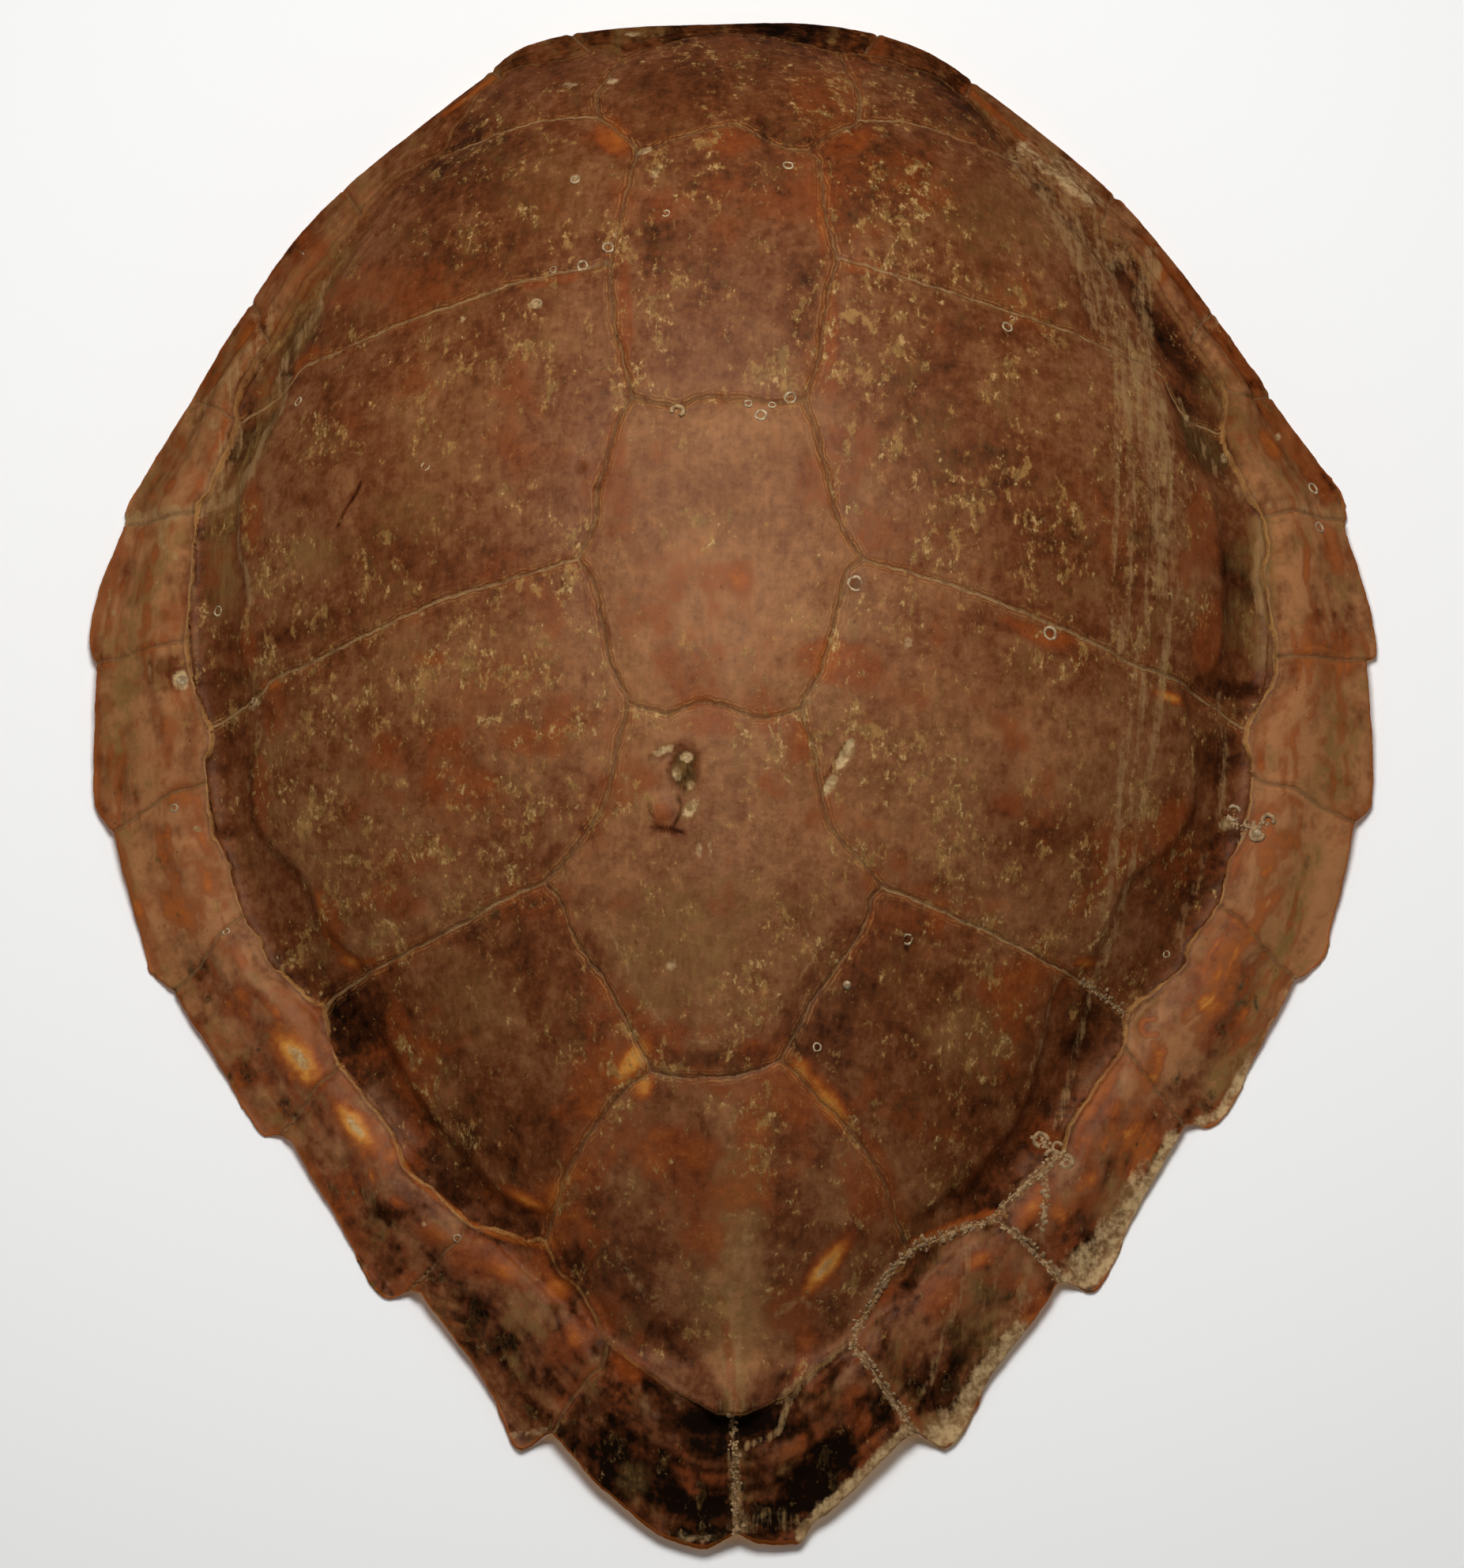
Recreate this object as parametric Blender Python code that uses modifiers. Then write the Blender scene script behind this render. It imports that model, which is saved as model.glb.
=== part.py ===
"""Carapace (upper shell) of a loggerhead-type sea turtle, resting on its rim.

Frame: +Z up, +Y towards the head, +X the right-hand side seen from above with the head
away from the viewer.  The origin is the centre of the footprint, on the floor.

The outer face is a dome inside a brim.  Both are laid out from two outlines, the rim and
the brim seam, and from a few stations that say how the height changes from head to tail.
"""

import math
from typing import Callable

import bmesh
import bpy
import numpy as np

# ---- driving dimensions, in metres ------------------------------------------------------
WIDTH = 0.652                  # widest distance across the rim
CROWN_HEIGHT = 0.178           # highest point of the dome above the floor
CROWN_Y = 0.062                # where that point lies, ahead of the middle of the shell
BONE_THICKNESS = 0.0065        # plain wall: bone with its horn plates
SPINE_THICKNESS = 0.017        # wall where the backbone runs along the inside
RIB_WIDTH = 0.011              # half width of a rib's ridge
SPINE_WIDTH = 0.015            # half width of the backbone's ridge
GUTTER_WIDTH = 0.014           # the sunken strip just inside the brim seam
KEEL_HEIGHT = 0.006            # ridge on the rearmost plate of the middle row
KEEL_WIDTH = 0.017
KEEL_START_Y, KEEL_END_Y = -0.130, -0.340
FLOOR_TRIM_DEPTH = 0.080       # height of the block that flattens the underside's edge

# ---- stations every 30 degrees from the head (first) round to the tail (last) ------------
RIM_HEIGHT = (0.028, 0.0085, 0.0020, 0.0062, 0.0038, 0.0036, 0.0085)
BRIM_RISE = (0.030, 0.042, 0.043, 0.030, 0.021, 0.021, 0.025)
BRIM_CROWNING = (0.001, 0.002, 0.003, 0.004, 0.004, 0.004, 0.003)
DOME_FULLNESS = (4.1, 3.6, 2.9, 2.5, 2.3, 2.1, 2.05)
GUTTER_DEPTH = (0.0, 0.002, 0.006, 0.010, 0.010, 0.008, 0.006)

# ---- outlines, as pixels of a view that looks down on the shell from behind the tail -----
VIEW_TILT = math.radians(20.0)     # between that line of sight and the vertical
VIEW_MIDDLE_X = 927.5              # pixel column of the origin
VIEW_SPAN_X = 1631.0               # the rim's width, in pixels
PIXEL = WIDTH / VIEW_SPAN_X        # size of one pixel on the shell

RIM_LEFT = (
    (940, 22), (850, 27), (740, 36), (667, 48), (620, 82), (570, 128), (500, 178),
    (450, 218), (400, 267), (358, 320), (322, 367), (290, 417), (253, 480), (225, 528),
    (186, 592), (158, 640), (148, 683), (124, 743), (113, 794), (113, 818), (120, 840),
    (119, 925), (118, 990), (123, 1023), (143, 1054), (166, 1140), (186, 1207),
    (196, 1231), (219, 1252), (269, 1330), (316, 1409), (330, 1428), (362, 1439),
    (395, 1488), (450, 1580), (472, 1621), (486, 1635), (515, 1632), (541, 1648),
    (600, 1723), (641, 1796), (651, 1820), (660, 1826), (691, 1812), (719, 1833),
    (794, 1905), (832, 1933), (881, 1950), (903, 1948), (934, 1936),
)
RIM_RIGHT = (
    (961, 1945), (1010, 1943), (1030, 1919), (1078, 1883), (1149, 1816), (1169, 1813),
    (1191, 1824), (1216, 1806), (1256, 1733), (1319, 1654), (1345, 1621), (1380, 1629),
    (1392, 1620), (1434, 1535), (1484, 1450), (1500, 1425), (1526, 1423), (1546, 1411),
    (1582, 1345), (1639, 1240), (1672, 1208), (1685, 1168), (1713, 1051), (1733, 1021),
    (1738, 950), (1732, 843), (1743, 823), (1731, 752), (1705, 670), (1706, 649),
    (1683, 598), (1629, 528), (1573, 443), (1535, 388), (1500, 345), (1436, 264),
    (1395, 225), (1300, 149), (1232, 95), (1187, 65), (1123, 40), (1040, 28),
)
BRIM_LEFT = (
    (925, 38), (840, 48), (745, 62), (650, 84), (590, 138), (500, 220), (425, 305),
    (365, 385), (308, 478), (270, 590), (243, 690), (238, 800), (255, 900), (263, 990),
    (283, 1075), (328, 1185), (400, 1275), (440, 1360), (498, 1440), (580, 1530),
    (680, 1578), (760, 1680), (840, 1748), (927, 1785),
)
BRIM_RIGHT = (
    (1010, 1748), (1085, 1680), (1150, 1590), (1230, 1548), (1320, 1475), (1373, 1390),
    (1430, 1290), (1505, 1195), (1560, 1075), (1582, 975), (1598, 890), (1614, 800),
    (1602, 700), (1570, 590), (1535, 465), (1470, 365), (1400, 286), (1296, 197),
    (1190, 96), (1105, 66), (1010, 46),
)

# ---- the inside's ribs -------------------------------------------------------------------
RIB_SPINE_Y = (0.215, 0.150, 0.085, 0.020, -0.045, -0.110, -0.170, -0.225)
RIB_END_BEARING = (38.0, 56.0, 74.0, 91.0, 107.0, 123.0, 139.0, 155.0)
RIB_REACH = 0.96                   # how far towards the brim seam a rib runs
RIB_RELIEF = 0.45                  # a rib's height as a share of the backbone's
SPINE_OVERHANG = 0.060             # how far the backbone runs past the first and last ribs

# ---- mesh fineness -----------------------------------------------------------------------
GRID_CELLS = 48                    # cells along each side of the square that is laid out
DOME_RINGS = 18                    # of the grid's rings, those inside the brim seam
RINGS = GRID_CELLS // 2
CURVE_STEPS = 24                   # samples between two points of an outline
BRIM_HARMONICS = 7                 # waves round the brim seam that the dome follows
BEARING_SAMPLES = 720              # samples round the brim seam when it is smoothed
ROUNDS = 8                         # rounds in which a place and its height are made to agree
GRID_CENTRE = 1e-6                 # a grid point nearer the middle than this is the crown


def clear_scene() -> None:
    for obj in list(bpy.data.objects):
        bpy.data.objects.remove(obj, do_unlink=True)


def smooth_between(before: np.ndarray, first: np.ndarray, second: np.ndarray, after: np.ndarray,
                   u: np.ndarray) -> np.ndarray:
    """Value at u, from 0 at first to 1 at second, on the smooth curve through all four."""
    bend = 2 * before - 5 * first + 4 * second - after
    twist = 3 * (first - second) + after - before
    return first + 0.5 * u * (second - before + u * (bend + u * twist))


def by_bearing(stations: tuple, bearing: np.ndarray) -> np.ndarray:
    """Smooth value at a bearing from the head, in radians, the same on both sides."""
    step = math.pi / (len(stations) - 1)
    folded = np.abs((bearing + math.pi) % (2 * math.pi) - math.pi) / step
    low = np.clip(np.floor(folded).astype(int), 0, len(stations) - 2)
    mirrored = np.array((stations[1],) + stations + (stations[-2],))
    return smooth_between(*(mirrored[low + k] for k in range(4)), folded - low)


def closed_curve(points: np.ndarray) -> np.ndarray:
    """Dense points of a closed smooth curve through the given ones."""
    corners = [np.roll(points, 1 - k, axis=0) for k in range(4)]
    pieces = [smooth_between(*corners, u) for u in np.arange(CURVE_STEPS) / CURVE_STEPS]
    return np.stack(pieces, axis=1).reshape(-1, 2)


class Outline:
    """A closed outline in plan, seen from the crown: distance by bearing, and points by arc length."""

    def __init__(self, pixels: tuple, height: Callable, shift_y: float) -> None:
        traced = np.array(pixels, float)
        x = (traced[:, 0] - VIEW_MIDDLE_X) * PIXEL
        seen = -traced[:, 1] * PIXEL - shift_y
        y = seen.copy()
        for _ in range(ROUNDS):
            rise = height(np.arctan2(x, y - CROWN_Y))
            y = (seen - rise * math.sin(VIEW_TILT)) / math.cos(VIEW_TILT)
        self.points = closed_curve(np.column_stack((x, y)))
        arm = self.points - (0.0, CROWN_Y)
        order = np.argsort(np.arctan2(arm[:, 0], arm[:, 1]))
        self.bearing = np.arctan2(arm[:, 0], arm[:, 1])[order]
        self.distance = np.hypot(arm[:, 0], arm[:, 1])[order]

    def reach(self, bearing: np.ndarray) -> np.ndarray:
        return np.interp(bearing, self.bearing, self.distance, period=2 * math.pi)

    def smooth(self, harmonics: int) -> None:
        """Keeps only the first waves of the outline, so that a dome laid over it has no ridges."""
        bearing = np.linspace(-math.pi, math.pi, BEARING_SAMPLES, endpoint=False)
        waves = np.fft.rfft(self.reach(bearing))
        waves[harmonics + 1:] = 0.0
        self.bearing, self.distance = bearing, np.fft.irfft(waves, len(bearing))

    def at_share(self, share: np.ndarray) -> np.ndarray:
        """Points at shares of the outline's length, counted from due right towards the head."""
        arm = self.points - (0.0, CROWN_Y)
        start = int(np.argmin(np.abs(np.arctan2(arm[:, 0], arm[:, 1]) - math.pi / 2)))
        ring = np.roll(self.points, -start, axis=0)
        if ring[len(ring) // 4, 1] < ring[0, 1]:
            ring = np.roll(ring[::-1], 1, axis=0)
        ring = np.vstack((ring, ring[:1]))
        run = np.concatenate(([0.0], np.cumsum(np.hypot(*np.diff(ring, axis=0).T))))
        along = share % 1.0 * run[-1]
        return np.column_stack([np.interp(along, run, ring[:, axis]) for axis in (0, 1)])


def rim_height(bearing: np.ndarray) -> np.ndarray:
    return by_bearing(RIM_HEIGHT, bearing)


def seam_height(bearing: np.ndarray) -> np.ndarray:
    return rim_height(bearing) + by_bearing(BRIM_RISE, bearing)


def centring_shift() -> float:
    """What centres the rim's length on the origin.  The rim's height depends on it, so it is
    found in a few rounds, measured along the upright axis of the outlines' own view."""
    shift = 0.0
    for _ in range(ROUNDS):
        rim = Outline(RIM_LEFT + RIM_RIGHT, rim_height, shift)
        middle = (rim.points[:, 1].max() + rim.points[:, 1].min()) / 2
        shift += middle * math.cos(VIEW_TILT)
    return shift


SHIFT_Y = centring_shift()
RIM = Outline(RIM_LEFT + RIM_RIGHT, rim_height, SHIFT_Y)
BRIM = Outline(BRIM_LEFT + BRIM_RIGHT, seam_height, SHIFT_Y)
BRIM.smooth(BRIM_HARMONICS)


def keel(x: np.ndarray, y: np.ndarray) -> np.ndarray:
    """A ridge that grows along the rear midline and ends at the tip of the last middle plate."""
    along = np.clip((KEEL_START_Y - y) / (KEEL_START_Y - KEEL_END_Y), 0.0, 1.0)
    past_tip = np.clip((KEEL_END_Y - y) / KEEL_WIDTH, 0.0, 1.0)
    return KEEL_HEIGHT * along * (1.0 - past_tip) * np.exp(-((x / KEEL_WIDTH) ** 2))


def outer_height(bearing: np.ndarray, radius: np.ndarray) -> np.ndarray:
    """Height of the outer face at a bearing and a distance from the crown, in plan."""
    seam_reach, rim_reach = BRIM.reach(bearing), RIM.reach(bearing)
    seam_z, rim_z = seam_height(bearing), rim_height(bearing)
    inward = np.clip(seam_reach - radius, 0.0, None)
    fall = np.clip(radius / seam_reach, 0.0, 1.0) ** by_bearing(DOME_FULLNESS, bearing)
    gutter = by_bearing(GUTTER_DEPTH, bearing) * inward / GUTTER_WIDTH * np.exp(1 - inward / GUTTER_WIDTH)
    dome = seam_z + (CROWN_HEIGHT - seam_z) * (1 - fall) - gutter
    across = np.clip((radius - seam_reach) / (rim_reach - seam_reach), 0.0, 1.0)
    crowning = by_bearing(BRIM_CROWNING, bearing) * 4 * across * (1 - across)
    brim = seam_z + (rim_z - seam_z) * across + crowning
    x, y = radius * np.sin(bearing), CROWN_Y + radius * np.cos(bearing)
    return np.where(radius <= seam_reach, dome, brim) + keel(x, y)


def distance_to_line(x: np.ndarray, y: np.ndarray, start: tuple, end: tuple) -> np.ndarray:
    run = np.subtract(end, start)
    along = np.clip(((x - start[0]) * run[0] + (y - start[1]) * run[1]) / run.dot(run), 0.0, 1.0)
    return np.hypot(x - start[0] - along * run[0], y - start[1] - along * run[1])


def rib_relief(x: np.ndarray, y: np.ndarray) -> np.ndarray:
    """From 0 on the plain wall to 1 on the backbone: how much the inside is thickened."""
    first, last = RIB_SPINE_Y[0] + SPINE_OVERHANG, RIB_SPINE_Y[-1] - SPINE_OVERHANG
    relief = np.exp(-((distance_to_line(x, y, (0.0, first), (0.0, last)) / SPINE_WIDTH) ** 2))
    for spine_y, degrees in zip(RIB_SPINE_Y, RIB_END_BEARING):
        for side in (-1, 1):
            bearing = side * math.radians(degrees)
            reach = RIB_REACH * float(BRIM.reach(np.array([bearing]))[0])
            end = (reach * math.sin(bearing), CROWN_Y + reach * math.cos(bearing))
            gap = distance_to_line(x, y, (0.0, spine_y), end)
            relief = np.maximum(relief, RIB_RELIEF * np.exp(-((gap / RIB_WIDTH) ** 2)))
    return relief


def ring_and_share(a: float, b: float) -> tuple:
    """Which ring of the square grid a point is on, from 0 to 1, and how far round it."""
    ring = max(abs(a), abs(b))
    if ring < GRID_CENTRE:
        return 0.0, 0.0
    if abs(a) >= abs(b):
        turn = math.pi / 4 * b / a + (math.pi if a < 0 else 0.0)
    else:
        turn = math.pi / 2 - math.pi / 4 * a / b + (math.pi if b < 0 else 0.0)
    return ring, turn / (2 * math.pi) % 1.0


def shape_grid(mesh: bpy.types.Mesh) -> np.ndarray:
    """A square grid laid over dome and brim, so that its rings run along seam and rim."""
    bm = bmesh.new()
    bmesh.ops.create_grid(bm, x_segments=GRID_CELLS, y_segments=GRID_CELLS, size=1.0)
    places = np.array([ring_and_share(v.co.x, v.co.y) for v in bm.verts])
    ring = np.round(places[:, 0] * RINGS)
    edge = RIM.at_share(places[:, 1])
    bearing = np.arctan2(edge[:, 0], edge[:, 1] - CROWN_Y)
    seam_reach, rim_reach = BRIM.reach(bearing), np.hypot(edge[:, 0], edge[:, 1] - CROWN_Y)
    across = (ring - DOME_RINGS) / (RINGS - DOME_RINGS)
    radius = np.where(
        ring <= DOME_RINGS,
        seam_reach * ring / DOME_RINGS,
        seam_reach + (rim_reach - seam_reach) * across,
    )
    x, y = radius * np.sin(bearing), CROWN_Y + radius * np.cos(bearing)
    z = outer_height(bearing, radius)
    for vertex, place in zip(bm.verts, np.column_stack((x, y, z))):
        vertex.co = place
    bmesh.ops.triangulate(bm, faces=bm.faces[:], quad_method="BEAUTY")
    bm.to_mesh(mesh)
    bm.free()
    return rib_relief(x, y)


def horn_material() -> bpy.types.Material:
    material = bpy.data.materials.new("horn_plates")
    material.use_nodes = True
    surface = material.node_tree.nodes["Principled BSDF"]
    surface.inputs["Base Color"].default_value = (0.135, 0.048, 0.018, 1.0)
    surface.inputs["Roughness"].default_value = 0.42
    surface.inputs["Metallic"].default_value = 0.0
    return material


def collection(name: str) -> bpy.types.Collection:
    made = bpy.data.collections.new(name)
    bpy.context.scene.collection.children.link(made)
    return made


def floor_cutter(home: bpy.types.Collection) -> bpy.types.Object:
    """A block whose top is the floor: it wears the rim's lowest edge flat."""
    bpy.ops.mesh.primitive_cube_add(size=1.0, location=(0.0, 0.0, -FLOOR_TRIM_DEPTH / 2))
    block = bpy.context.active_object
    block.name = "floor_cutter"
    block.scale = (2 * WIDTH, 2 * WIDTH, FLOOR_TRIM_DEPTH)
    block.hide_render = True
    block.display_type = "WIRE"
    for owner in list(block.users_collection):
        owner.objects.unlink(block)
    home.objects.link(block)
    return block


def carapace(home: bpy.types.Collection, cutter: bpy.types.Object) -> bpy.types.Object:
    mesh = bpy.data.meshes.new("carapace")
    relief = shape_grid(mesh)
    shell = bpy.data.objects.new("carapace", mesh)
    home.objects.link(shell)
    mesh.materials.append(horn_material())
    mesh.shade_smooth()

    ribs = shell.vertex_groups.new(name="ribs")
    for index, weight in enumerate(relief):
        ribs.add([index], float(weight), "REPLACE")
    wall = shell.modifiers.new("wall", "SOLIDIFY")
    wall.thickness = SPINE_THICKNESS
    wall.offset = -1.0
    wall.vertex_group = ribs.name
    wall.thickness_vertex_group = BONE_THICKNESS / SPINE_THICKNESS

    trim = shell.modifiers.new("worn_rim", "BOOLEAN")
    trim.operation = "DIFFERENCE"
    trim.solver = "EXACT"
    trim.object = cutter
    return shell


def main() -> None:
    clear_scene()
    parts = collection("sea_turtle_carapace")
    cutters = collection("cutters")
    carapace(parts, floor_cutter(cutters))


main()
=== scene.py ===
"""Looks of the sea turtle carapace: horn plates, the bone under them, and what grew and dried on them.

Everything stands in the frame of the CAD part: metres, +Z up, +Y towards the head, the origin on
the floor under the middle of the rim.  Seams and markings are named points of the photograph's
1853 x 1984 frame, and are carried onto the shell along the line of sight.
"""

import logging
import math
from collections.abc import Callable
from dataclasses import dataclass, field
from enum import Enum

import bpy
import numpy as np
from mathutils.kdtree import KDTree
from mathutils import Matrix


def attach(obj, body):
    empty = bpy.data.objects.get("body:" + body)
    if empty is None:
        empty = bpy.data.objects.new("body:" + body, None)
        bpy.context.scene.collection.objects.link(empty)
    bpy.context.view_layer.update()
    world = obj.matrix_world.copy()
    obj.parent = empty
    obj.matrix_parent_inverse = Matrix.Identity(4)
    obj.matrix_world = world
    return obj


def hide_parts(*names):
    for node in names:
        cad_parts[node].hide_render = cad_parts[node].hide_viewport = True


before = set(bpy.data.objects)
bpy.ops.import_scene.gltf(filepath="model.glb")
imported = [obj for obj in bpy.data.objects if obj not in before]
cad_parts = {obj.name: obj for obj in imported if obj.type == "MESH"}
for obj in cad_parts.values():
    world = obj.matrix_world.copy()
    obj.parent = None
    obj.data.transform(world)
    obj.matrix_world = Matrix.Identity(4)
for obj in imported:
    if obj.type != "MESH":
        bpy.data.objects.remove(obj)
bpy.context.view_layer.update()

LOG = logging.getLogger("carapace")
BODY, CAD_NODE = "root", "carapace"
MM = 0.001
BAKE_MAP = "OFBake"

Points = list[tuple[float, ...]]
Array = np.ndarray
Number = float | Array
Piece, Material, Tree = bpy.types.Object, bpy.types.Material, bpy.types.NodeTree


def rows(text: str) -> Points:
    """Rows of numbers, from a text with spaces between the numbers and commas between the rows."""
    return [tuple(map(float, row.split())) for row in text.split(",")]


# ---- the photograph's line of sight ----
VIEW_TILT = math.radians(20.0)      # between the line of sight and the vertical
VIEW_MIDDLE_X = 927.5               # pixel column of the origin
PIXEL = 0.652 / 1631.0              # size of one pixel on the shell
VIEW_SHIFT = -0.4006097             # centres the rim's length on the origin
IMAGE_WIDE, IMAGE_HIGH = 1853.0, 1984.0

# ---- outlines and seams: column and row in the photograph's frame ----
RIM_TRACE = rows("""
    940 22, 870 25, 770 35, 722 36, 667 48, 640 62, 620 82, 608 97, 570 128, 500 178, 450 218, 418 248,
    380 290, 350 328, 335 350, 322 367, 310 388, 290 417, 225 528, 186 592, 158 640, 157 656, 148 683,
    124 743, 113 794, 113 818, 120 840, 120 877, 119 925, 118 990, 123 1023, 143 1054, 152 1088, 186
    1207, 196 1231, 219 1252, 237 1282, 269 1330, 316 1409, 330 1428, 340 1433, 352 1434, 372 1448, 395
    1488, 423 1531, 464 1606, 472 1621, 486 1635, 502 1636, 515 1632, 531 1636, 541 1648, 600 1723, 628
    1768, 641 1796, 651 1820, 660 1826, 670 1822, 691 1812, 701 1815, 719 1833, 753 1871, 794 1905, 832
    1933, 881 1950, 903 1948, 920 1941, 934 1936, 961 1945, 997 1945, 1015 1941, 1030 1919, 1050 1907,
    1078 1883, 1121 1841, 1149 1816, 1159 1811, 1169 1813, 1191 1824, 1200 1822, 1216 1806, 1236 1770,
    1256 1733, 1319 1654, 1335 1628, 1345 1621, 1359 1624, 1380 1629, 1392 1620, 1408 1592, 1434 1535,
    1484 1450, 1500 1425, 1512 1421, 1526 1423, 1546 1411, 1564 1385, 1582 1345, 1627 1262, 1639 1240,
    1653 1230, 1675 1206, 1685 1168, 1701 1109, 1713 1051, 1718 1038, 1733 1021, 1737 1006, 1738 950,
    1735 899, 1732 843, 1735 831, 1743 823, 1740 790, 1731 752, 1717 708, 1705 670, 1706 649, 1700 622,
    1683 598, 1629 528, 1600 480, 1573 443, 1535 388, 1464 300, 1436 264, 1395 225, 1250 110, 1232 95,
    1187 65, 1123 40, 1070 32, 1006 24
""")
BRIM_SEAM = rows("""
    925 37, 870 45, 810 61, 785 69, 765 60, 745 58, 715 70, 650 80, 632 92, 605 113, 590 138, 570 163,
    556 188, 500 220, 455 266, 402 335, 385 355, 338 431, 320 455, 298 500, 297 530, 290 555, 262 620,
    246 644, 243 727, 235 808, 237 837, 245 865, 265 918, 266 944, 261 968, 266 1029, 269 1053, 283
    1072, 295 1108, 309 1155, 328 1183, 344 1215, 395 1264, 409 1276, 425 1333, 447 1365, 498 1432, 513
    1473, 553 1505, 591 1543, 616 1549, 668 1565, 688 1568, 711 1608, 733 1624, 747 1648, 771 1694, 798
    1715, 854 1756, 885 1772, 927 1785, 991 1764, 1026 1731, 1076 1692, 1088 1671, 1117 1620, 1141 1600,
    1151 1581, 1177 1569, 1208 1555, 1258 1535, 1272 1517, 1327 1470, 1345 1455, 1353 1423, 1397 1355,
    1421 1320, 1428 1280, 1472 1242, 1496 1220, 1502 1200, 1516 1176, 1542 1141, 1548 1113, 1560 1077,
    1576 1045, 1584 978, 1580 918, 1612 860, 1617 830, 1614 800, 1605 760, 1600 720, 1605 690, 1600 650,
    1583 625, 1560 575, 1549 543, 1554 513, 1549 482, 1511 429, 1452 335, 1433 308, 1401 289, 1347 243,
    1296 197, 1228 125, 1190 95, 1150 80, 1105 64, 1065 62, 980 42
""")
# the sides of the five middle plates, head to tail
MIDDLE_ROW_LEFT = rows("""
    785 69, 757 108, 757 142, 780 160, 805 186, 798 215, 780 290, 772 330, 776 400, 788 450, 798 499,
    780 536, 767 585, 757 613, 755 646, 745 679, 731 705, 741 717, 753 744, 771 830, 784 862, 794 887,
    778 950, 773 983, 757 1028, 739 1052, 718 1085, 690 1113, 706 1134, 726 1183, 743 1211, 763 1236,
    812 1330, 822 1352, 792 1374, 751 1423, 715 1482, 707 1509, 688 1568
""")
MIDDLE_ROW_RIGHT = rows("""
    1065 62, 1088 110, 1088 145, 1060 160, 1025 185, 1038 198, 1043 243, 1048 281, 1060 322, 1053 351,
    1045 392, 1034 461, 1019 503, 1029 532, 1051 613, 1059 650, 1075 679, 1090 705, 1075 719, 1067 740,
    1041 842, 1016 894, 1031 944, 1045 1023, 1061 1056, 1086 1081, 1102 1101, 1116 1119, 1104 1134, 1096
    1166, 1073 1203, 1029 1264, 1012 1297, 996 1325, 990 1338, 1008 1354, 1029 1379, 1069 1419, 1113
    1478, 1125 1509, 1151 1581
""")
CROSS_SEAMS = tuple(map(rows, (      # between the middle plates, head to tail
    "805 187, 830 181, 860 168, 900 156, 935 152, 985 179, 1025 185",
    "798 499, 853 511, 886 501, 926 501, 992 507, 1019 503",
    "794 887, 816 895, 845 900, 869 891, 892 886, 910 889, 967 906, 1016 894",
    "822 1352, 845 1358, 878 1360, 939 1356, 990 1338",
)))
SIDE_SEAMS_LEFT = tuple(map(rows, (      # between the side plates, from the middle row outwards
    "757 142, 700 144, 640 158, 554 192",
    "772 330, 700 343, 640 358, 600 373, 500 408, 403 450, 372 464, 353 490, 297 530",
    "731 705, 620 739, 553 759, 435 814, 395 835, 344 857, 324 877, 265 918",
    "690 1113, 629 1140, 585 1167, 474 1225, 419 1262, 409 1276",
)))
SIDE_SEAMS_RIGHT = tuple(map(rows, (
    "1088 145, 1150 148, 1200 162, 1296 198",
    "1060 322, 1200 365, 1345 412, 1410 440, 1450 455, 1480 475, 1492 500, 1515 525, 1549 543",
    "1090 705, 1192 734, 1270 762, 1361 800, 1401 819, 1441 841, 1476 851, 1508 869, 1580 920",
    "1116 1119, 1184 1146, 1212 1160, 1262 1182, 1373 1242, 1428 1280",
)))
BRIM_CUTS_LEFT = tuple(map(rows, (      # between the brim's plates, from the nuchal plate to the tail
    "745 58, 722 36",
    "632 92, 620 82",
    "455 266, 434 238",
    "338 430, 317 383, 313 376",
    "297 530, 268 512, 243 503",
    "246 644, 213 652, 160 660",
    "235 808, 130 833, 119 838",
    "261 988, 200 1012, 143 1050",
    "309 1155, 290 1171, 245 1227, 219 1252",
    "427 1341, 421 1357, 399 1377, 355 1435",
    "591 1543, 583 1565, 557 1588, 516 1632",
    "770 1694, 763 1723, 747 1739, 719 1770, 703 1802, 691 1812",
)))
BRIM_CUTS_RIGHT = tuple(map(rows, (
    "1095 62, 1112 38",
    "1225 115, 1233 97",
    "1395 282, 1410 248, 1416 243",
    "1511 429, 1515 415, 1537 392, 1543 386",
    "1551 485, 1572 500, 1612 497",
    "1600 650, 1640 645, 1690 652, 1705 655",
    "1616 828, 1680 830, 1737 832",
    "1584 978, 1603 990, 1635 996, 1679 1020, 1718 1038",
    "1542 1142, 1568 1163, 1607 1204, 1641 1237",
    "1421 1320, 1446 1355, 1476 1391, 1499 1422",
    "1258 1535, 1280 1557, 1315 1584, 1343 1616",
    "1076 1692, 1117 1747, 1141 1778, 1160 1810",
)))
TAIL_CUT = rows("927 1785, 930 1865, 931 1905, 934 1936")
# where the side plates' bulge drops to the sunken strip
SHOULDER_LEFT = rows("""
    600 168, 520 222, 468 282, 428 350, 395 425, 352 512, 318 570, 303 625, 300 690, 312 745, 300 800,
    318 868, 345 905, 322 950, 318 1010, 335 1060, 385 1110, 410 1170, 455 1215, 485 1262, 490 1310, 530
    1385, 590 1460, 645 1516, 695 1532
""")
SHOULDER_RIGHT = rows("""
    1262 185, 1385 320, 1432 385, 1470 450, 1492 520, 1530 600, 1545 680, 1552 770, 1540 840, 1500 880,
    1512 950, 1510 1020, 1478 1072, 1432 1110, 1405 1160, 1380 1212, 1335 1250, 1316 1330, 1296 1400,
    1248 1465, 1150 1548
""")


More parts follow.
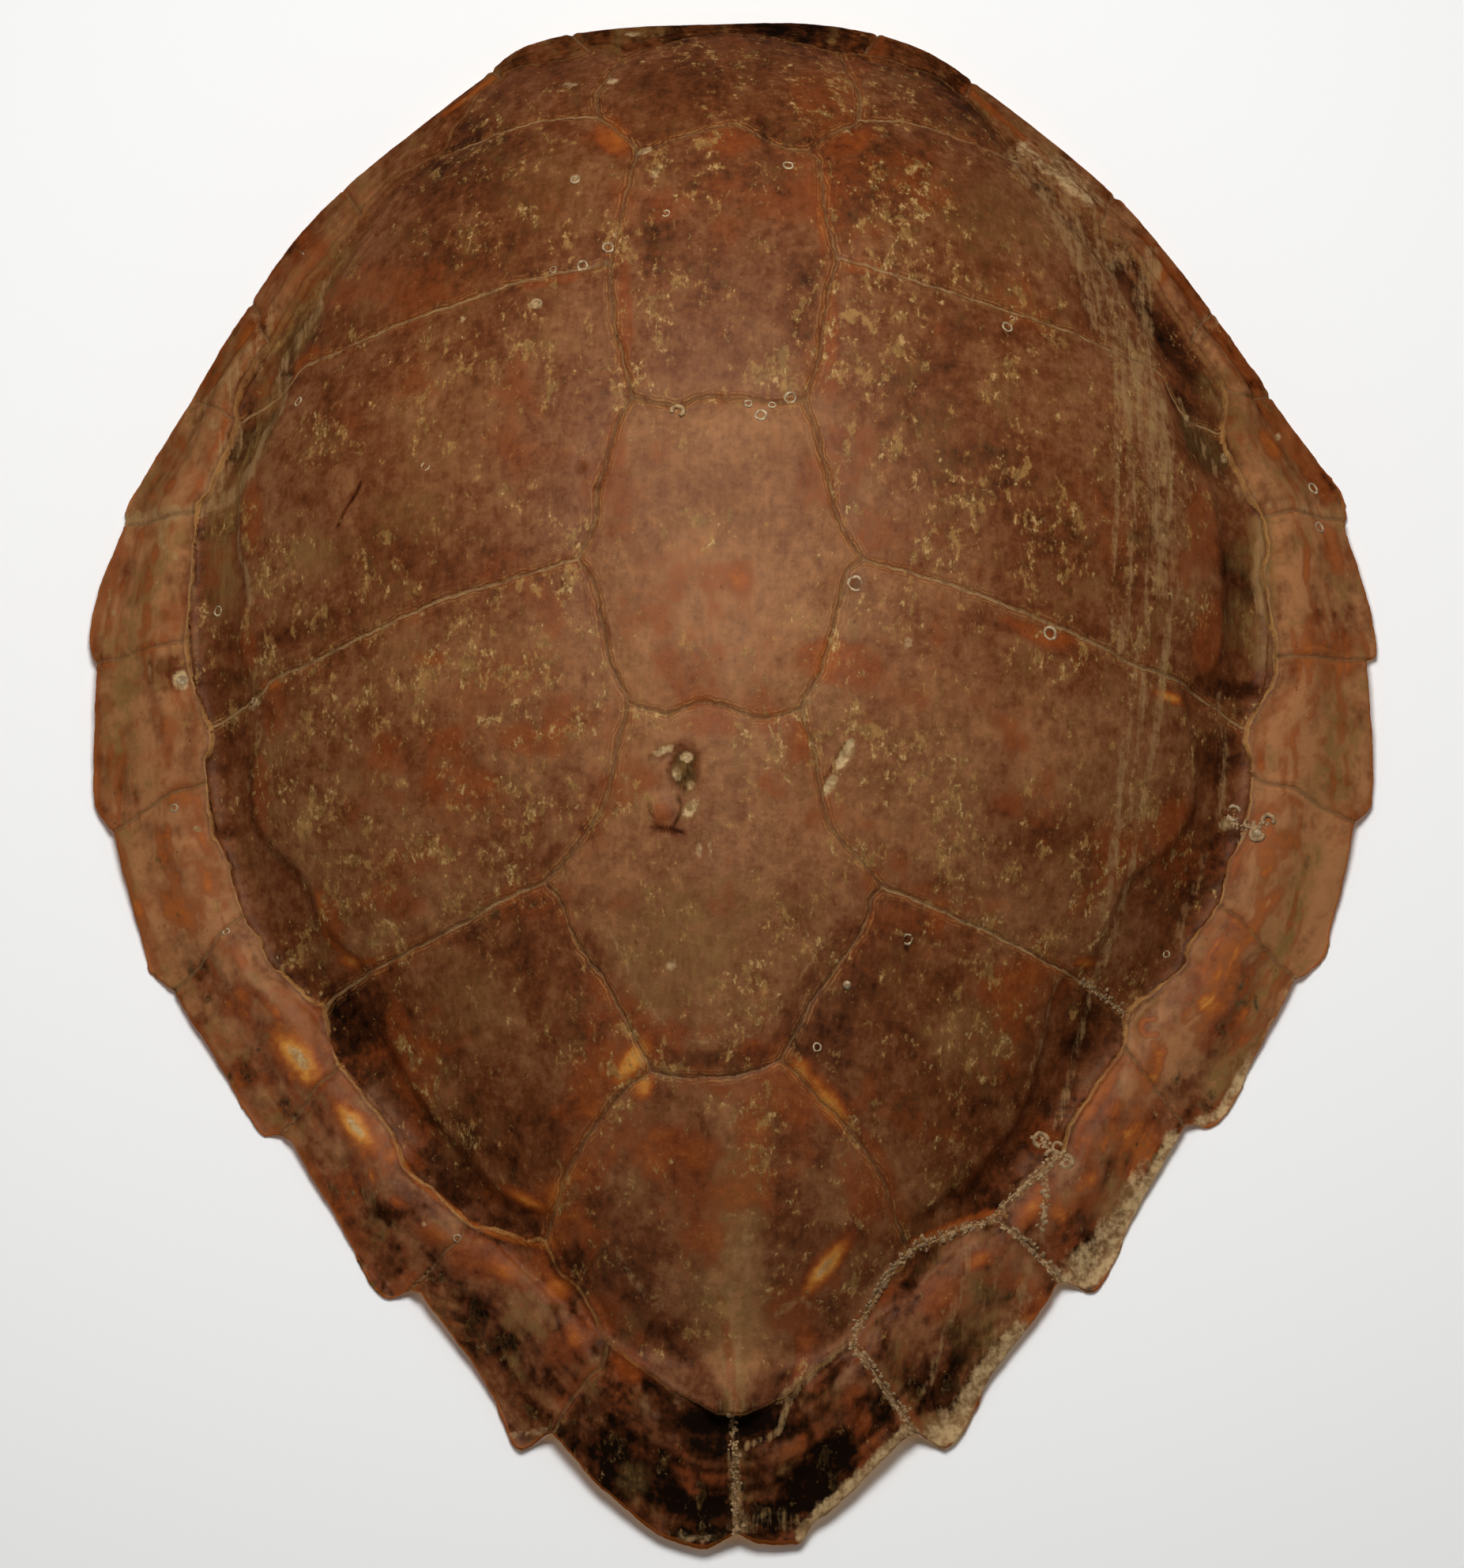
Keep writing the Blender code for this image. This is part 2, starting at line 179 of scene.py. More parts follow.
# ---- small numeric helpers ----
def smooth_between(before: Number, first: Number, second: Number, after: Number, u: Number) -> Number:
    """Value on the smooth curve through four neighbouring ones.

    Args:
        before, first, second, after: the four values.
        u: how far along, from 0 at first to 1 at second.

    Returns:
        The value or values there.
    """
    bend = 2 * before - 5 * first + 4 * second - after
    twist = 3 * (first - second) + after - before
    return first + 0.5 * u * (second - before + u * (bend + u * twist))


def dense_curve(points: Points, closed: bool, steps: int = 24) -> Array:
    """Many points of the smooth curve through a few.

    Args:
        points: the few points.
        closed: whether the curve comes back to its start.
        steps: samples from one point to the next.

    Returns:
        An array of points, one row each.
    """
    given = np.array(points, float)
    if closed:
        corners = [np.roll(given, 1 - k, axis=0) for k in range(4)]
    else:
        ends = np.vstack((2 * given[0] - given[1], given, 2 * given[-1] - given[-2]))
        corners = [ends[k:len(ends) - 3 + k] for k in range(4)]
    pieces = [smooth_between(*corners, u) for u in np.arange(steps) / steps]
    curve = np.stack(pieces, axis=1).reshape(-1, 2)
    return curve if closed else np.vstack((curve, given[-1:]))


def wavy(curve: Array, swing: float, seed: int) -> Array:
    """A drawn line made uneven, as a grown one is, with its ends kept.

    Args:
        curve: the line's dense points, in pixels.
        swing: the most that it strays, in pixels.
        seed: picks the waves.

    Returns:
        The uneven line.
    """
    draw = np.random.default_rng(seed)
    step = np.gradient(curve, axis=0)
    length = np.hypot(*step.T)
    run = np.cumsum(length)
    sideways = np.column_stack((-step[:, 1], step[:, 0])) / np.maximum(length, 1e-9)[:, None]
    offset = np.zeros(len(curve))
    for wave in (55.0, 31.0, 17.0, 9.0):
        offset += (wave / 55.0) ** 0.5 * np.sin(2 * math.pi * (run / wave + draw.random()))
    ends = np.clip(np.minimum(run, run[-1] - run) / 12.0, 0.0, 1.0)
    return curve + sideways * (0.4 * swing * offset * ends)[:, None]


def run_along(line: Array) -> Array:
    """How far along a line each of its points is."""
    return np.concatenate(([0.0], np.cumsum(np.hypot(*np.diff(line, axis=0).T))))


def points_along(line: Array, distance: Array) -> Array:
    """Points of a line at distances along it."""
    return np.column_stack([np.interp(distance, run_along(line), line[:, axis]) for axis in (0, 1)])


def unit(directions: Array) -> Array:
    """The same directions, each of length 1."""
    return directions / np.maximum(np.linalg.norm(directions, axis=1), 1e-12)[:, None]


def polar(x: Array, y: Array, crown_y: float) -> tuple[Array, Array]:
    """Bearings from the head, as seen from the crown, and distances from it."""
    return np.arctan2(x, y - crown_y), np.hypot(x, y - crown_y)


def from_polar(bearing: Array, distance: Array, crown_y: float) -> tuple[Array, Array]:
    """Plan points at bearings and distances from the crown."""
    return distance * np.sin(bearing), crown_y + distance * np.cos(bearing)


def soft_step(low: float, high: float, value: Array) -> Array:
    """0 up to low, 1 from high on, and smooth between them; low may be the larger of the two."""
    t = np.clip((value - low) / (high - low), 0.0, 1.0)
    return t * t * (3 - 2 * t)


def knot(a: Array, b: Array, seed: int) -> Array:
    """The random values at knots of a plane.

    Args:
        a, b: the knots' whole numbers.
        seed: picks the pattern.

    Returns:
        Values from -1 to 1.
    """
    mixed = (a * 374761393 + b * 668265263 + seed * 974634777) & 0xFFFFFFFF
    mixed = ((mixed ^ (mixed >> 13)) * 1274126177) & 0xFFFFFFFF
    return ((mixed ^ (mixed >> 16)) & 0xFFFF) / 32767.5 - 1.0


def grain_2d(u: Array, v: Array, seed: int) -> Array:
    """Smooth random values from -1 to 1 over a plane, one knot to each whole number.

    Args:
        u, v: places on the plane.
        seed: picks the pattern.

    Returns:
        The value at each place.
    """
    iu, iv = np.floor(u).astype(np.int64), np.floor(v).astype(np.int64)
    fu, fv = u - iu, v - iv
    fu, fv = fu * fu * (3 - 2 * fu), fv * fv * (3 - 2 * fv)
    near, far = (knot(iu, v, seed) * (1 - fu) + knot(iu + 1, v, seed) * fu for v in (iv, iv + 1))
    return near * (1 - fv) + far * fv


def cloudy(u: Array, v: Array, seed: int, octaves: int = 3) -> Array:
    """Random values of several finenesses added up.

    Args:
        u, v: places on the plane, one coarse knot to each whole number.
        seed: picks the pattern.
        octaves: how many finenesses, each twice as fine as the one before.

    Returns:
        The value at each place, from about -1 to 1.
    """
    total, weight = np.zeros_like(u), 0.0
    for octave in range(octaves):
        share = 0.55 ** octave
        total += share * grain_2d(u * 2 ** octave, v * 2 ** octave, seed + octave)
        weight += share
    return total / weight


def nearest(tree: KDTree, places: Array) -> tuple[Array, Array]:
    """The nearest stored point to each place.

    Args:
        tree: the stored points.
        places: rows of x, y, z.

    Returns:
        Their numbers and their distances.
    """
    found = [tree.find(place)[1:] for place in places.tolist()]
    index, distance = np.array(found, float).T
    return index.astype(int), distance


def tree_of(points: Array) -> KDTree:
    """A tree in which the nearest point is found fast.

    Args:
        points: rows of x, y, z.

    Returns:
        The tree, which numbers the points as the rows are.
    """
    tree = KDTree(len(points))
    for index, point in enumerate(points.tolist()):
        tree.insert(point, index)
    tree.balance()
    return tree


def disc_grid(cells: int) -> tuple[Array, Array, Array]:
    """A square grid pressed into a disc of radius 1.

    Args:
        cells: cells along each side.

    Returns:
        Two coordinates of its vertices, and its faces.
    """
    line = np.linspace(-1.0, 1.0, cells + 1)
    u, v = np.meshgrid(line, line)
    corner = np.arange(u.size).reshape(u.shape)
    faces = np.stack((corner[:-1, :-1], corner[:-1, 1:], corner[1:, 1:], corner[1:, :-1]), axis=-1)
    return (u * np.sqrt(1 - v * v / 2)).ravel(), (v * np.sqrt(1 - u * u / 2)).ravel(), faces.reshape(-1, 4)


def grid_directions(places: Array) -> Array:
    """The way that a square grid looks at each vertex, worked out from its neighbours.

    Args:
        places: its vertices, row by row.

    Returns:
        Upward unit directions.
    """
    side = math.isqrt(len(places))
    shaped = places.reshape(side, side, 3)
    normal = np.cross(np.gradient(shaped, axis=1), np.gradient(shaped, axis=0)).reshape(-1, 3)
    return unit(normal * np.where(normal[:, 2:] < 0, -1.0, 1.0))


# ---- the shell's form ----
@dataclass(frozen=True)
class ShellForm:
    """Sizes of the shell, in metres, as the CAD part has them; stations run from head to tail."""

    crown_height: float = 0.178
    crown_y: float = 0.062
    wall: float = 0.0065
    spine_wall: float = 0.017
    rib_half_width: float = 0.011
    spine_half_width: float = 0.015
    rib_relief: float = 0.45
    spine_overhang: float = 0.060
    gutter_width: float = 0.014
    keel_height: float = 0.006
    keel_width: float = 0.017
    keel_start_y: float = -0.130
    keel_end_y: float = -0.340
    brim_harmonics: int = 7
    rim_height: tuple = (0.028, 0.0085, 0.0020, 0.0062, 0.0038, 0.0036, 0.0085)
    brim_rise: tuple = (0.030, 0.042, 0.043, 0.030, 0.021, 0.021, 0.025)
    brim_crowning: tuple = (0.001, 0.002, 0.003, 0.004, 0.004, 0.004, 0.003)
    dome_fullness: tuple = (4.1, 3.6, 2.9, 2.5, 2.3, 2.1, 2.05)
    gutter_depth: tuple = (0.0, 0.002, 0.006, 0.010, 0.010, 0.008, 0.006)
    rib_spine_y: tuple = (0.215, 0.150, 0.085, 0.020, -0.045, -0.110, -0.170, -0.225)
    rib_end_bearing: tuple = (38.0, 56.0, 74.0, 91.0, 107.0, 123.0, 139.0, 155.0)
    rib_reach: float = 0.96

    @staticmethod
    def by_bearing(stations: tuple, bearing: Array) -> Array:
        """A size that changes round the shell, the same on both sides.

        Args:
            stations: its values at equal steps from head to tail.
            bearing: bearings from the head, in radians.

        Returns:
            Its value at each bearing.
        """
        step = math.pi / (len(stations) - 1)
        folded = np.abs((bearing + math.pi) % (2 * math.pi) - math.pi) / step
        low = np.clip(np.floor(folded).astype(int), 0, len(stations) - 2)
        mirrored = np.array((stations[1],) + stations + (stations[-2],))
        return smooth_between(*(mirrored[low + k] for k in range(4)), folded - low)


class Outline:
    """A closed outline in plan, seen from the crown."""

    def __init__(self, points: Array, crown_y: float) -> None:
        """Sorts the outline's points by their bearing.

        Args:
            points: rows of x and y.
            crown_y: where on the midline the crown is.
        """
        self.points, self.crown_y = points, crown_y
        bearing, distance = polar(*points.T, crown_y)
        order = np.argsort(bearing)
        self.bearing, self.distance = bearing[order], distance[order]

    def reach(self, bearing: Array) -> Array:
        """Distance from the crown to the outline at a bearing."""
        return np.interp(bearing, self.bearing, self.distance, period=2 * math.pi)

    def smoothed(self, harmonics: int) -> "Outline":
        """A smoother outline.

        Args:
            harmonics: how many waves round it are kept.

        Returns:
            The outline that is left.
        """
        bearing = np.linspace(-math.pi, math.pi, 720, endpoint=False)
        waves = np.fft.rfft(self.reach(bearing))
        waves[harmonics + 1:] = 0.0
        reach = np.fft.irfft(waves, len(bearing))
        return Outline(np.column_stack(from_polar(bearing, reach, self.crown_y)), self.crown_y)

    def at_share(self, share: Array) -> Array:
        """Points part of the way round.

        Args:
            share: shares of the outline's length, counted from due right towards the head.

        Returns:
            Rows of x and y.
        """
        bearing, _ = polar(*self.points.T, self.crown_y)
        start = int(np.argmin(np.abs(bearing - math.pi / 2)))
        ring = np.roll(self.points, -start, axis=0)
        if ring[len(ring) // 4, 1] < ring[0, 1]:
            ring = np.roll(ring[::-1], 1, axis=0)
        ring = np.vstack((ring, ring[:1]))
        return points_along(ring, share % 1.0 * run_along(ring)[-1])


class ShellSurface:
    """The smooth outer face that every plate and marking lies on."""

    def __init__(self, form: ShellForm) -> None:
        """Lays out rim and brim seam from their traces.

        Args:
            form: the shell's sizes.
        """
        self.form = form
        rim = wavy(dense_curve(RIM_TRACE, closed=True), swing=0.8, seed=3)
        self.rim = Outline(self.outline_in_plan(rim, self.rim_height), form.crown_y)
        self.rim_even = self.rim.smoothed(16)
        seam = dense_curve(BRIM_SEAM, closed=True)
        drawn = Outline(self.outline_in_plan(seam, self.seam_height), form.crown_y)
        self.brim = drawn.smoothed(form.brim_harmonics)

    def rim_height(self, bearing: Array) -> Array:
        """Height of the rim above the floor."""
        return self.form.by_bearing(self.form.rim_height, bearing)

    def seam_height(self, bearing: Array) -> Array:
        """Height of the seam between dome and brim."""
        return self.rim_height(bearing) + self.form.by_bearing(self.form.brim_rise, bearing)

    @staticmethod
    def in_sight(pixels: Array) -> tuple[Array, Array]:
        """How far across and up the picture pixels are, in metres."""
        return (pixels[:, 0] - VIEW_MIDDLE_X) * PIXEL, -pixels[:, 1] * PIXEL - VIEW_SHIFT

    @staticmethod
    def y_seen(up: Array, z: Array) -> Array:
        """The y of points that are seen so far up the picture and lie so high."""
        return (up - z * math.sin(VIEW_TILT)) / math.cos(VIEW_TILT)

    def outline_in_plan(self, pixels: Array, height: Callable[[Array], Array]) -> Array:
        """Plan points of a traced outline.

        Args:
            pixels: rows of column and row.
            height: gives the outline's height at a bearing.

        Returns:
            Rows of x and y.
        """
        x, up = self.in_sight(pixels)
        y = up.copy()
        for _ in range(8):
            y = self.y_seen(up, height(np.arctan2(x, y - self.form.crown_y)))
        return np.column_stack((x, y))

    def height(self, x: Array, y: Array) -> Array:
        """Height of the outer face.

        Args:
            x, y: plan points.

        Returns:
            z at each of them.
        """
        form, by = self.form, self.form.by_bearing
        bearing, radius = polar(x, y, form.crown_y)
        seam_reach, rim_reach = self.brim.reach(bearing), self.rim_even.reach(bearing)
        seam_z, rim_z = self.seam_height(bearing), self.rim_height(bearing)
        inward = np.clip(seam_reach - radius, 0.0, None)
        fall = np.clip(radius / seam_reach, 0.0, 1.0) ** by(form.dome_fullness, bearing)
        gutter = by(form.gutter_depth, bearing) * inward / form.gutter_width * np.exp(
            1 - inward / form.gutter_width)
        dome = seam_z + (form.crown_height - seam_z) * (1 - fall) - gutter
        across = np.clip((radius - seam_reach) / (rim_reach - seam_reach), 0.0, 1.2)
        crowning = by(form.brim_crowning, bearing) * 4 * across * np.clip(1 - across, 0.0, 1.0)
        brim = np.maximum(seam_z + (rim_z - seam_z) * across + crowning, 0.7 * rim_z)
        return np.where(radius <= seam_reach, dome, brim) + self.keel(x, y)

    def outward(self, x: Array, y: Array) -> Array:
        """The way that the outer face looks.

        Args:
            x, y: plan points.

        Returns:
            A unit direction at each of them.
        """
        step = 1.2 * MM
        slope = [(self.height(x + a, y + b) - self.height(x - a, y - b)) / (2 * step)
                 for a, b in ((step, 0.0), (0.0, step))]
        return unit(np.column_stack((-slope[0], -slope[1], np.ones_like(x))))

    def keel(self, x: Array, y: Array) -> Array:
        """The ridge that grows along the rear midline.

        Args:
            x, y: plan points.

        Returns:
            What it adds to the height there.
        """
        form = self.form
        along = np.clip((form.keel_start_y - y) / (form.keel_start_y - form.keel_end_y), 0.0, 1.0)
        past = np.clip((form.keel_end_y - y) / form.keel_width, 0.0, 1.0)
        return form.keel_height * along * (1.0 - past) * np.exp(-((x / form.keel_width) ** 2))

    def under_pixels(self, pixels: Array) -> Array:
        """Points of the outer face that pixels of the photograph's frame look at.

        Args:
            pixels: rows of column and row.

        Returns:
            Rows of x, y, z.
        """
        x, up = self.in_sight(pixels)
        z = np.full_like(x, 0.05)
        for _ in range(70):
            y = self.y_seen(up, z)
            z = 0.3 * z + 0.7 * self.height(x, y)
        return np.column_stack((x, y, z))

    @staticmethod
    def to_pixels(places: Array) -> tuple[Array, Array]:
        """Column and row at which points of the frame are seen in the photograph."""
        seen = places[:, 1] * math.cos(VIEW_TILT) + places[:, 2] * math.sin(VIEW_TILT)
        return places[:, 0] / PIXEL + VIEW_MIDDLE_X, -(seen + VIEW_SHIFT) / PIXEL


# ---- the plates ----
class Side(Enum):
    """Which half of the shell a plate is on."""

    LEFT = "left"
    RIGHT = "right"
    MIDDLE = "middle"


class Row(Enum):
    """Which row of plates a plate belongs to."""

    NUCHAL = "nuchal"
    MIDDLE = "vertebral"
    SIDE = "costal"
    BRIM = "marginal"
    TAIL = "supracaudal"


@dataclass(frozen=True)
class Plate:
    """One horn plate: its row, its half, its place in the row, and how its horn looks."""

    row: Row
    side: Side
    number: int
    tone: float        # 0 dark reddish brown, 1 light pinkish brown, below 0 towards black
    flecks: float      # how thickly tan flecks lie on it, from 0 to 1

    @property
    def name(self) -> str:
        """The piece's name: its row, its half and its number, where it has them."""
        half = "" if self.side is Side.MIDDLE else f"_{self.side.value}"
        return self.row.value + half + ("" if self.row in (Row.NUCHAL, Row.TAIL) else f"_{self.number}")


def all_plates() -> list[Plate]:
    """All the shell's plates.

    Returns:
        The plates, in the order in which the scute map numbers them.
    """
    middle_tone, middle_flecks = (0.10, 0.34, 0.52, 0.52, 0.44), (0.65, 0.78, 0.58, 0.88, 0.85)
    side_tone, side_flecks = (0.12, 0.18, 0.36, 0.40, 0.16), (0.72, 0.84, 0.86, 0.92, 0.80)
    brim_tone = (0.20, 0.44, 0.42, 0.48, 0.68, 0.98, 1.00, 1.20, 0.72, 0.38, 0.10)
    plates = [Plate(Row.NUCHAL, Side.MIDDLE, 1, -0.05, 0.3)]
    plates += [Plate(Row.MIDDLE, Side.MIDDLE, k + 1, middle_tone[k], middle_flecks[k]) for k in range(5)]
    halves = (Side.LEFT, Side.RIGHT)
    plates += [Plate(Row.SIDE, side, k + 1, side_tone[k], side_flecks[k])
               for side in halves for k in range(5)]
    plates += [Plate(Row.BRIM, side, k + 1, brim_tone[k], 0.3) for side in halves for k in range(11)]
    return plates + [Plate(Row.TAIL, side, 12, -0.40, 0.25) for side in halves]


class ScuteMap:
    """Which plate a place is on, and how far it is from the seams."""

    FIRST_MIDDLE, LAST_MIDDLE, FIRST_SIDE, FIRST_BRIM, FIRST_TAIL = 1, 5, 6, 16, 38
    SIDE_PLATES, BRIM_PLATES = 5, 11        # on each side
    BRIM_TIP_ROW = 1581.0       # below this row only the last middle plate is left inside the brim

    def __init__(self, surface: ShellSurface) -> None:
        """Makes the traced seams uneven lines on the surface.

        Args:
            surface: the outer face.
        """
        self.surface = surface
        self.crown_y = surface.form.crown_y
        brim = wavy(dense_curve(BRIM_SEAM, closed=True), swing=1.6, seed=11)
        self.brim_points = surface.under_pixels(brim)
        self.brim = Outline(self.brim_points[:, :2], self.crown_y)
        self.middle = self.drawn((MIDDLE_ROW_LEFT, MIDDLE_ROW_RIGHT), 1.4, 20)
        self.cross = self.drawn(CROSS_SEAMS, 1.4, 30)
        self.sides = [self.drawn(SIDE_SEAMS_LEFT, 1.4, 40), self.drawn(SIDE_SEAMS_RIGHT, 1.4, 50)]
        self.cuts = [self.drawn(BRIM_CUTS_LEFT, 1.2, 60), self.drawn(BRIM_CUTS_RIGHT, 1.2, 80)]
        self.tail, = self.drawn((TAIL_CUT,), 1.0, 99)
        # lines, how full of silt they are, and how strong the growth lines beside them are
        kinds = ((self.middle + self.cross, 0.30, 0.70), (self.sides[0] + self.sides[1], 0.95, 0.55),
                 (self.cuts[0] + self.cuts[1] + [self.tail], 0.40, 0.12))
        seams = [(surface.under_pixels(line), silt, band) for lines, silt, band in kinds for line in lines]
        self.plate_seam_points = np.vstack([points for points, _, _ in seams])
        self.seam_silt, self.seam_band = (
            np.concatenate([np.full(len(seam[0]), seam[kept]) for seam in seams]) for kept in (1, 2))
        self.cut_courses = [[self.course(line) for line in side] for side in self.cuts]

    @staticmethod
    def drawn(traces: tuple[Points, ...], swing: float, seed: int) -> list[Array]:
        """Uneven lines along traces, each with a seed of its own."""
        return [wavy(dense_curve(trace, False), swing, seed + k) for k, trace in enumerate(traces)]

    def course(self, line: Array) -> tuple[Array, Array]:
        """How a seam between two of the brim's plates crosses the brim.

        Args:
            line: the seam's pixels.

        Returns:
            Rising shares of the way across, and the bearings there without their signs.
        """
        bearing, radius = polar(*self.surface.under_pixels(line).T[:2], self.crown_y)
        share = self.across(bearing, radius)
        order = np.argsort(share)
        return share[order], np.abs(bearing)[order]

    def across(self, bearing: Array, radius: Array) -> Array:
        """How far across the brim a place is, from 0 at its seam to 1 at the rim."""
        inner, outer = self.brim.reach(bearing), self.surface.rim.reach(bearing)
        return (radius - inner) / np.maximum(outer - inner, 0.004)

    @staticmethod
    def line_at(line: Array, along: Array, axis: int) -> Array:
        """Where a line is on one pixel axis, for places along the other."""
        order = np.argsort(line[:, 1 - axis])
        return np.interp(along, line[order, 1 - axis], line[order, axis])

    def plate_at(self, places: Array) -> Array:
        """The number of the plate at each place.

        Args:
            places: rows of x, y, z on the outer face.

        Returns:
            Plate numbers, in the order of all_plates().
        """
        column, row = self.surface.to_pixels(places)
        bearing, radius = polar(*places.T[:2], self.crown_y)
        share = self.across(bearing, radius)
        left, right = (self.line_at(line, row, 0) for line in self.middle)
        plate = self.FIRST_MIDDLE + sum(row > self.line_at(line, column, 1) for line in self.cross)
        brim = np.zeros(len(places), int)
        sides = ((column <= left, places[:, 0] < 0), (column >= right, places[:, 0] >= 0))
        for s, (beside, half) in enumerate(sides):
            passed = sum(row > self.line_at(line, column, 1) for line in self.sides[s])
            here = beside & (row <= self.BRIM_TIP_ROW)
            plate = np.where(here, self.FIRST_SIDE + self.SIDE_PLATES * s + passed, plate)
            passed = sum(np.abs(bearing) > np.interp(share, *course) for course in self.cut_courses[s])
            number = np.where(passed == 0, 0, self.FIRST_BRIM + self.BRIM_PLATES * s + passed - 1)
            brim = np.where(half, np.where(passed > self.BRIM_PLATES, self.FIRST_TAIL, number), brim)
        brim += (brim == self.FIRST_TAIL) & (column > self.line_at(self.tail, row, 0))
        return np.where(share < 0, plate, brim)


# ---- markings ----
class Mark(Enum):
    """What a marking does to the horn."""

    ORANGE = "orange"      # thin horn that glows orange
    AMBER = "amber"        # clear yellow horn
    DARK = "dark"          # darker horn, and painted shade in hollows and gutters
    LIGHT = "light"        # painted highlight on swellings, crests and the dome's top
    DUST = "dust"          # dried silt
    FILM = "film"          # a thin olive film of dirt
    PALE = "pale"          # worn or limy
    BARE = "bare"          # bone laid bare


@dataclass(frozen=True)
class Oval:
    """An oval in pixels of the photograph's frame; its amount is a strength, or a depth in mm."""

    x: float
    y: float
    wide: float
    long: float
    amount: float = 1.0
    turn: float = 0.0          # degrees, from upright towards the right

    def reach(self, column: Array, row: Array) -> Array:
        """How far out pixels are.

        Args:
            column, row: the pixels.

        Returns:
            0 in the oval's middle, 1 on its edge, and more beyond it.
        """
        turn = math.radians(self.turn)
        across, down = column - self.x, row - self.y
        return np.hypot((across * math.cos(turn) + down * math.sin(turn)) / self.wide,
                        (down * math.cos(turn) - across * math.sin(turn)) / self.long)


